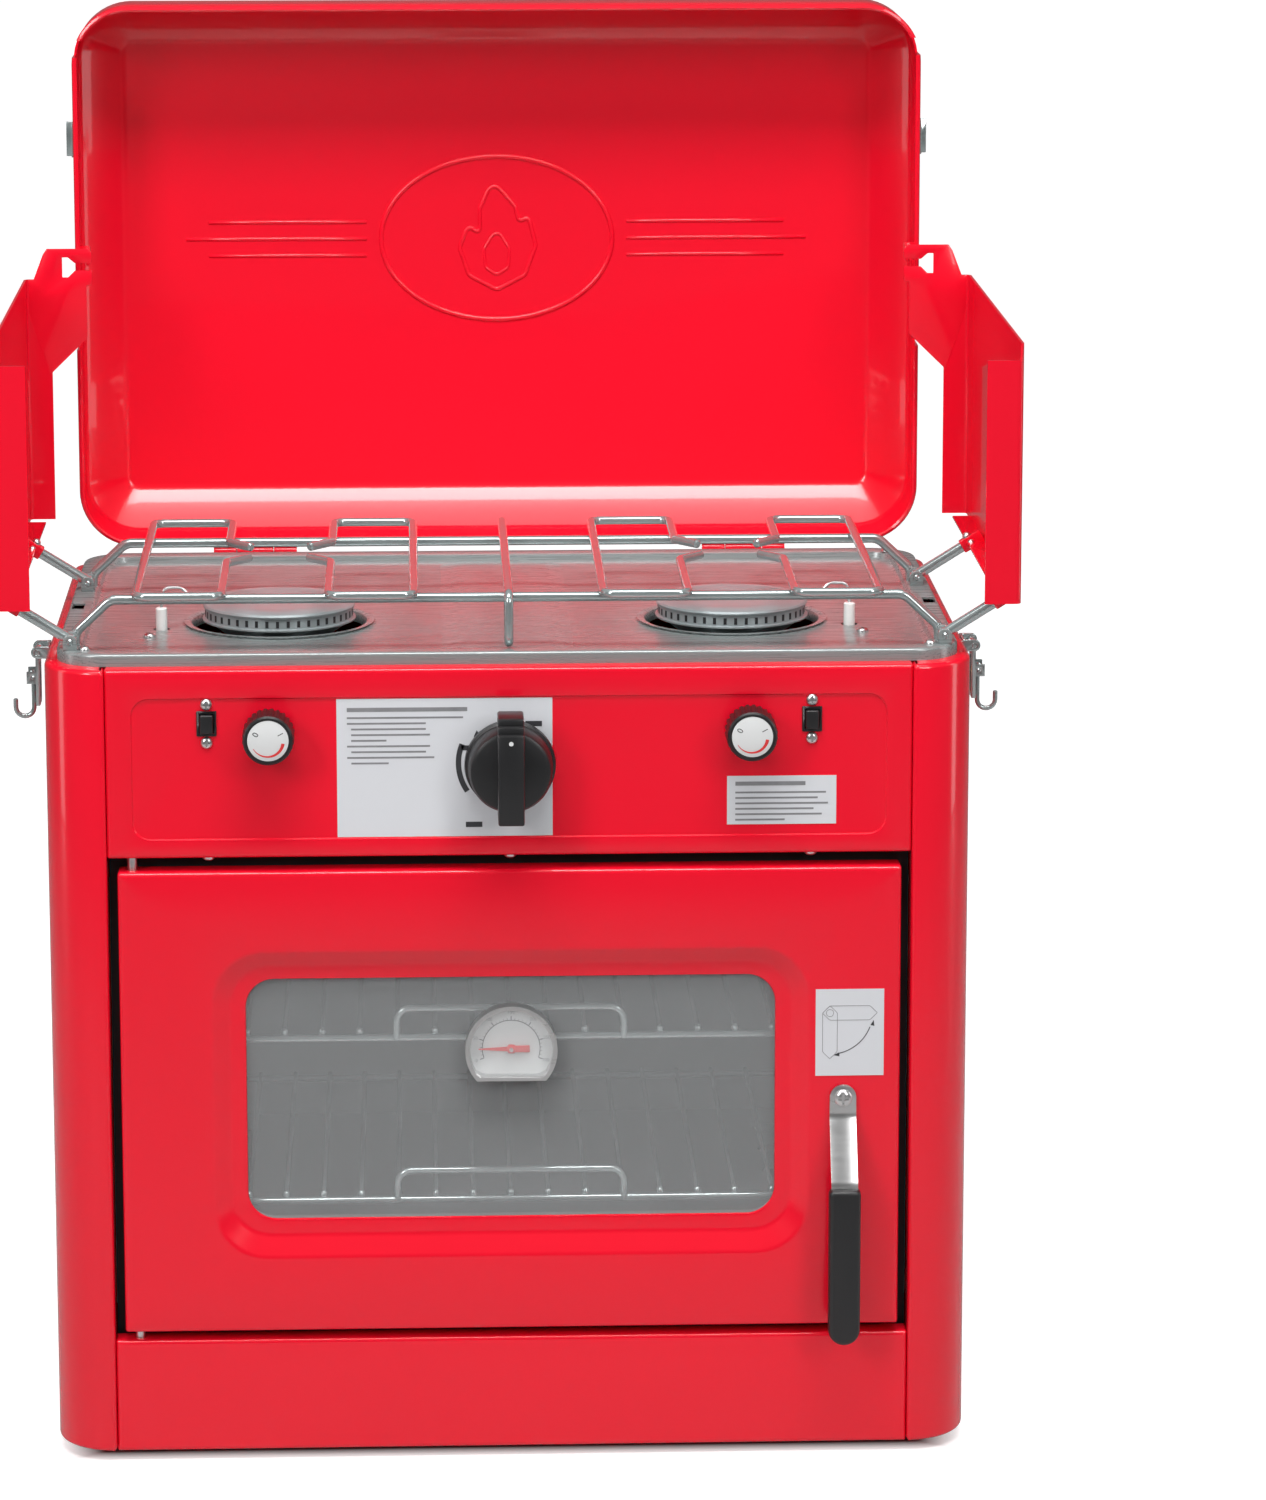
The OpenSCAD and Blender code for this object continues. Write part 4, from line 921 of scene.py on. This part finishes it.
def burner_knob(side):
    """A small knob with a white face, an arc that widens as the flame grows, and its stem."""
    node, body = side + "_knob", side + "_burner_knob"
    low, high = box(node)
    cx, cz = (low.x + high.x) / 2, JOINTS[node + "_turn"].z
    r = (high.x - low.x) / 2
    y0, y1 = low.y, PANEL_LOW.y - 2.0
    piece(node + "_body", [ribbed(cx, cz, y0, y1, r)], BLACK, body, "black_plastic", [node])
    face = [(0, 0), (r - 2.6, 0), (r - 2.6, 0.4), (r - 3.0, 0.55), (0, 0.55)]
    piece(node + "_face", [turned(face, (cx, y0 + 0.8, cz), "y", 64)], DIAL, body, "gauge_face")
    piece(node + "_stem", [rod(3, -14, 0, (cx, y1, cz), "y", 24)], BRASS, body, "brass")
    y = y0 + 0.8 - 0.55
    marks = []
    outer, count = r - 4.4, 26
    for k in range(count):
        (a0, w0), (a1, w1) = ((radians(208 + 142 * t / count), 0.25 + 1.35 * t / count) for t in (k, k + 1))
        quad = [(cx + reach * cos(a), cz + reach * sin(a))
                for reach, a in ((outer - w0, a0), (outer - w1, a1), (outer, a1), (outer, a0))]
        marks.append(inked(quad, y))
    piece(node + "_arc", marks, RED_INK, body, "needle_red")
    for text, angle in (("0", 152), ("1", 28)):
        a = radians(angle)
        place = (cx + 6.6 * cos(a), y, cz + 6.6 * sin(a))
        printed(node + "_number_" + text, text, place, 4.2, angle - 90, INK, body)


def oven_knob():
    """A round knob with a tall bar grip across it."""
    low, high = box("oven_knob")
    cz = JOINTS["oven_knob_turn"].z
    y1 = high.y
    r = 20.5
    base = [(0, 0), (r + 1.4, 0), (r + 1.6, 1.0), (r + 1.3, 3.4), (r + 0.2, 4.2), (r, 5), (r - 0.4, 16.5),
            (r - 1.4, 18.2), (r - 3.2, 19), (0, 19.3)]
    piece("oven_knob_disc", [turned(base, (0, y1, cz), "y", 96)], BLACK, "oven_dial", "black_plastic",
          ["oven_knob"], holes=[rod(4.1, -2, 14, (0, y1, cz), "y")])
    half = 6.3
    steps = [slab((-half, low.y + y, z0), (half, y1 - 8, z1))
             for y, z0, z1 in ((0, low.z + 1, high.z - 7), (3, high.z - 9, high.z - 3.5),
                               (6, high.z - 5, high.z - 0.2))]
    piece("oven_knob_bar", steps, BLACK, "oven_dial", "black_plastic", edge=(1.0,))
    dot = arc(0, high.z - 11, 1.1, 0, 360, 20)[:-1]
    piece("oven_knob_dot", [inked(dot, low.y, 0.2)], DIAL, "oven_dial", "gauge_face")


def buttons():
    """The igniter buttons, each in a thin frame."""
    gap, rim = 0.35, 1.6
    for side, _ in SIDES:
        low, high = box(side + "_button")
        piece(side + "_button_cap", [slab(low, high)], BLACK, side + "_igniter", "black_plastic",
              [side + "_button"], edge=(0.7, 3, 40))
        x0, z0, x1, z1 = low.x - gap, low.z - gap, high.x + gap, high.z + gap
        out_x0, out_z0, out_x1, out_z1 = low.x - rim, low.z - rim, high.x + rim, high.z + rim
        bars_round = [slab((a, PRESSED_Y - 0.9, b), (c, PRESSED_Y + 0.4, d))
                      for a, b, c, d in ((out_x0, out_z0, x0, out_z1), (x1, out_z0, out_x1, out_z1),
                                         (x0, out_z0, x1, z0), (x0, z1, x1, out_z1))]
        fixed(side + "_button_frame", bars_round, BLACK, "black_plastic", edge=(0.2,))


def label(name, x0, z0, x1, z1, y, body):
    """A thin label on a face at y; gives the y of its own face."""
    piece(name, [slab((x0, y - 0.25, z0), (x1, y + 0.6, z1))], PAPER, body, "gauge_face")
    return y - 0.25


def bars(rows, y):
    """Printed bars, each (x, z, length, height)."""
    return [slab((x, y - FACE_STEP, z - h / 2), (x + length, y + 0.1, z + h / 2)) for x, z, length, h in rows]


def band(cx, cz, r0, r1, a0, a1, y, steps=24):
    """A printed arc between two radii."""
    return inked(arc(cx, cz, r1, a0, a1, steps) + arc(cx, cz, r0, a1, a0, steps), y)


def arrow_tip(x, z, angle, size, y):
    a = radians(angle)
    tip = [(size, 0), (-size * 0.6, size * 0.55), (-size * 0.6, -size * 0.55)]
    return inked([(x + px * cos(a) - pz * sin(a), z + px * sin(a) + pz * cos(a)) for px, pz in tip], y)


def labels():
    """Plain printed labels: grey bars stand where a maker prints words."""
    face = label("left_label", -83.5, 314.8, 20.5, 383, PRESSED_Y, "cabinet")
    rows = [(-78.5, 377.6, 58, 2.0)]
    lengths, indented = (56, 38, 36, 38, 17, 40, 36, 42, 18), (2, 3, 4, 6, 8)
    rows += [(-78.5 + (2 if i in indented else 0), 373.6 - 2.8 * i, n, 0.9) for i, n in enumerate(lengths)]
    fixed("left_label_lines", bars(rows, face), GREY_INK, "black_plastic")
    marks = [band(0, JOINTS["oven_knob_turn"].z, 23.6, 26.2, 158, 214, face)]
    marks += bars([(7.5, 370.2, 8, 2.6), (-23.5, 358.5, 7, 2.4), (-21.5, 320.6, 8, 2.6)], face)
    flame = [(0, 3.2), (1.5, 0.8), (1.5, -0.9), (0, -2), (-1.5, -0.9), (-1.2, 0.6)]
    marks.append(inked([(-16 + x, 364 + z) for x, z in flame], face))
    fixed("left_label_marks", marks, INK, "black_plastic")

    face = label("right_label", 105, 319.4, 158, 343.4, PRESSED_Y, "cabinet")
    rows = [(109, 339.6, 34, 2.0)]
    rows += [(109, 335.2 - 2.7 * i, n, 0.9) for i, n in enumerate((44, 40, 45, 38, 42, 24))]
    fixed("right_label_lines", bars(rows, face), GREY_INK, "black_plastic")

    # the door's label shows a handle upright and on its side, with an arrow between them
    low_x, low_z = 148.5, 193.6
    face = label("door_label", low_x, low_z, low_x + 33.4, low_z + 43.6, DOOR_LOW.y, "oven_door")
    x, z = low_x + 7, low_z + 31.6
    half, reach, r, line = 3.6, 23, 3.5, 0.14

    def bar_outline(x0, z0, x1, z1):
        corners = [(x0 + r, z0), (x1 - r, z0), (x1, z0 + r), (x1, z1 - r), (x1 - r, z1), (x0 + r, z1), (x0, z1 - r),
                   (x0, z0 + r)]
        path = rounded([(cx, face, cz) for cx, cz in corners], r * 0.6, closed=True)
        return tube(path, line, closed=True, sides=6)

    pivot = [(cx, face, cz) for cx, cz in arc(x, z, 1.8, 0, 360, 20)[:-1]]
    lines = [bar_outline(x - half, z - reach, x + half, z + half),
             bar_outline(x - half, z - half, x + reach, z + half), tube(pivot, line, closed=True, sides=6)]
    piece("door_label_outline", lines, GREY_INK, "oven_door", "black_plastic")
    arrow = [band(x, z, 20.6, 21.0, -78, -20, face), arrow_tip(x + 21, z - 5.4, 78, 1.8, face),
             arrow_tip(x + half, z - 21.0, 188, 1.8, face)]
    piece("door_label_arrow", arrow, INK, "oven_door", "black_plastic")


for side_name, _ in SIDES:
    burner_knob(side_name)
oven_knob()
buttons()
labels()


# ---------- wind shields, latches and other fittings ----------

def electrodes():
    """White ceramic posts with a bent spark wire."""
    x, y, r = box("electrodes")[1].x - 2.9, middle("electrodes").y, 2.9
    post = [(0, -14), (r, -14), (r, 10.4), (2.3, 11), (0, 11)]
    fixed("electrode_posts", both(turned(post, (x, y, HOB_FLOOR), "z", 24)), CERAMIC, "ceramic_white", ["electrodes"])
    wire = [(x - back, y, HOB_FLOOR + up) for back, up in ((0, 8), (0, 21), (10, 21), (18, 13))]
    fixed("electrode_wires", both(tube(rounded(wire, 4.5), 0.8, sides=8)), SATIN, "zinc")


def stays():
    """The wind shields' wire stays, each with its pivot pin."""
    pin = Vector((0, STAY_PIN, 0))
    for side, _ in SIDES:
        shapes = []
        for y in stay_places(side):
            start, along = stay_start(side, y)
            shapes += [tube([start, start + along], 2.7, sides=16), tube([start - pin, start + pin], 1.5),
                       ball(start, 3.1, 16)]
        piece(side + "_stay_rods", shapes, CHROME, side + "_wind_shield", "chrome_wire", [side + "_stays"])


def stay_ends(side):
    """The lugs that hold the shield's sheet on its stays, and their rivets."""
    lugs, heads = [], []
    half, length = 3.6, 12
    for y in stay_places(side):
        start, along = stay_start(side, y)
        along.normalize()
        up = Vector((0, 1, 0)).cross(along)
        start += along * 28
        corners = ((-half, -3.2), (half, -3.2), (half, 3.2), (-half, 3.2))
        lugs.append(loft([[start + along * t + Vector((0, dy, 0)) + up * du for dy, du in corners]
                          for t in (0, length)]))
        heads.append(ball(start + along * 5 + up * 3.4 * (1 if up.z > 0 else -1), 2.3, 16))
        heads.append(ball(start + along * 5 + Vector((0, -half, 0)), 2.0, 16))
    return lugs, heads


def wind_shields():
    """Folded sheet: a wide flange in front, the main plate, a back flange and the bracket that holds the lid."""
    low, high = box("left_shield")
    x0, y0, y1, z0, z1 = low.x, low.y, high.y, low.z, high.z - 11
    bend, front, back = 3, 17.8, 14
    outer = [(x0 + front, y0)] + arc(x0 + bend, y0 + bend, bend, -90, -180, 5)
    outer += arc(x0 + bend, y1 - bend, bend, 180, 90, 5) + [(x0 + back, y1)]
    inner = [(x0 + back, y1 - SHEET)] + arc(x0 + bend, y1 - bend, bend - SHEET, 90, 180, 5)
    inner += arc(x0 + bend, y0 + bend, bend - SHEET, 180, 270, 5) + [(x0 + front, y0 + SHEET)]
    tops = [z1 - 13 if y < y0 + 1 else z1 - 5 for _, y in outer]
    sheet = loft([[(*face, z0), (*face, top), (*far, top), (*far, z0)]
                  for face, far, top in zip(outer, inner[::-1], tops)])
    ledge = slab((x0 + 1, y0 + 16, z0), (x0 + 10, y1 - 16, z0 + SHEET))
    tip = 10 - LID_HIGH.x - x0
    bracket = [(1.5, -20), (1.5, -5), (5, -5), (10, 8), (12, 11), (tip - 2, 11), (tip, 9), (tip, -8), (tip - 3, -8.5),
               (tip - 3, -36), (14, -54), (14, -60)]
    bracket = prism([(x0 + x, z1 + z) for x, z in bracket], y1 - SHEET - 0.12, y1 + 0.02)
    keyhole = [(20, -4), (23, -4), (26.5, -0.5), (36, -0.5), (36, 3.5), (26.5, 3.5), (23, 6.5), (20, 6.5)]
    keyhole = prism([(x0 + x, z1 + z) for x, z in keyhole], y1 - 5, y1 + 4)
    for side, _ in SIDES:
        turn = mirrored if side == "right" else lambda shape: shape
        body = side + "_wind_shield"
        piece(side + "_shield_sheet", [turn(sheet)], RED, body, "red_paint", [side + "_shield"])
        piece(side + "_shield_bracket", [turn(bracket)], RED, body, "red_paint", holes=[turn(keyhole)], edge=(0.3,))
        piece(side + "_shield_ledge", [turn(ledge)], RED, body, "red_paint", edge=(0.3,))
        lugs, heads = stay_ends(side)
        piece(side + "_stay_lugs", lugs, RED, body, "red_paint", edge=(0.6,))
        piece(side + "_stay_rivets", heads, SATIN, body, "zinc")


def hooks():
    """The wire hooks of the side latches."""
    bend = 4.5
    for side, sign in SIDES:
        x, y, z = JOINTS[side + "_hook_turn"]
        path = [(x, y, z - 1), (x, y, z - 16)]
        path += [(x + sign * out, y, height) for out, height in arc(bend, z - 16, bend, 180, 360, 12)[1:]]
        path += [(x + sign * 9, y, z - 12)]
        eye = [(px, y, pz) for px, pz in arc(x, z, 2.0, 0, 360, 20)[:-1]]
        shapes = [tube(path, 1.2), tube(eye, 0.9, closed=True, sides=8), tube([(x, y - 7, z), (x, y + 7, z)], 1.0)]
        piece(side + "_hook_wire", shapes, CHROME, side + "_latch_hook", "chrome_wire", [side + "_hook"])


def screws(node, centres, axis, r):
    """Pan heads with a cross recess."""
    head = [(0, 0), (r, 0), (r, r * 0.2), (r * 0.82, r * 0.46), (r * 0.5, r * 0.62), (0, r * 0.68)]
    fixed(node + "_heads", [turned(head, c, axis, 32) for c in centres], SATIN, "zinc", [node],
          holes=[cross_cut(c, axis, r) for c in centres])


def fasteners():
    """Screws by the igniter buttons, under the control panel and in the hob."""
    z = middle("left_button").z
    screws("panel_screws", [(s * 146, PRESSED_Y, z + d) for _, s in SIDES for d in (-9.4, 9.4)], "y", 2.9)
    head = [(0, 0), (3.2, 0), (3.0, -1.2), (2, -2), (0, -2.2)]
    under = [turned(head, (x, PANEL_LOW.y + 6, PANEL_LOW.z), "z", 24) for x in (-146, 0, 146)]
    fixed("panel_under_screws", under, SATIN, "zinc")
    places = ((205, BURNER_Y - 86, HOB_TOP), (176, BURNER_Y - 34, HOB_FLOOR), (205, BURNER_Y + 164, HOB_TOP))
    screws("hob_screws", [(s * x, y, z) for _, s in SIDES for x, y, z in places], "z", 3.0)


electrodes()
stays()
wind_shields()
hooks()
fasteners()

# CAD pieces that show as they are, with softer edges: material, slot, width of the edge and nodes
SOFT_NODES = (
    (RED, "red_paint", 0.4, ("hinge_leaves", "lid_leaves", "lid_tabs")),
    (CHROME, "chrome_wire", 0.25, ("lid_keepers",)),
    (CHROME, "chrome_wire", 0.3, ("latch_bases", "left_lever", "right_lever")),
    (HOB, "hob_steel", 0.2, ("hob_clips",)),
    (RUBBER, "black_rubber", 0.6, ("rubber_feet",)),
    (BRASS, "brass", 0.5, ("gas_inlet",)),
)
for soft_material, soft_slot, soft_width, soft_nodes in SOFT_NODES:
    for soft_node in soft_nodes:
        softened(soft_node, soft_material, soft_width)

# CAD pieces that are mostly hidden, and only get a material
PLAIN_NODES = (
    (RED, ("base_pan",)), (BLACK, ("igniter_housings",)), (GLASS, ("door_glass", "gauge_lens")),
    (STEEL, ("mixer_tubes", "gas_manifold", "heat_shield", "oven_burner", "door_liner", "glass_frame")),
    (BRASS, ("burner_valves", "oven_valve", "thermocouple", "oven_stem")), (LINER, ("oven_liner", "oven_baffle")),
    (SATIN, ("door_pins", "hinge_pins", "gauge_case", "handle_cam")),
)
for plain_material, plain_nodes in PLAIN_NODES:
    for plain_node in plain_nodes:
        paint(frame["nodes"][plain_node], plain_material)
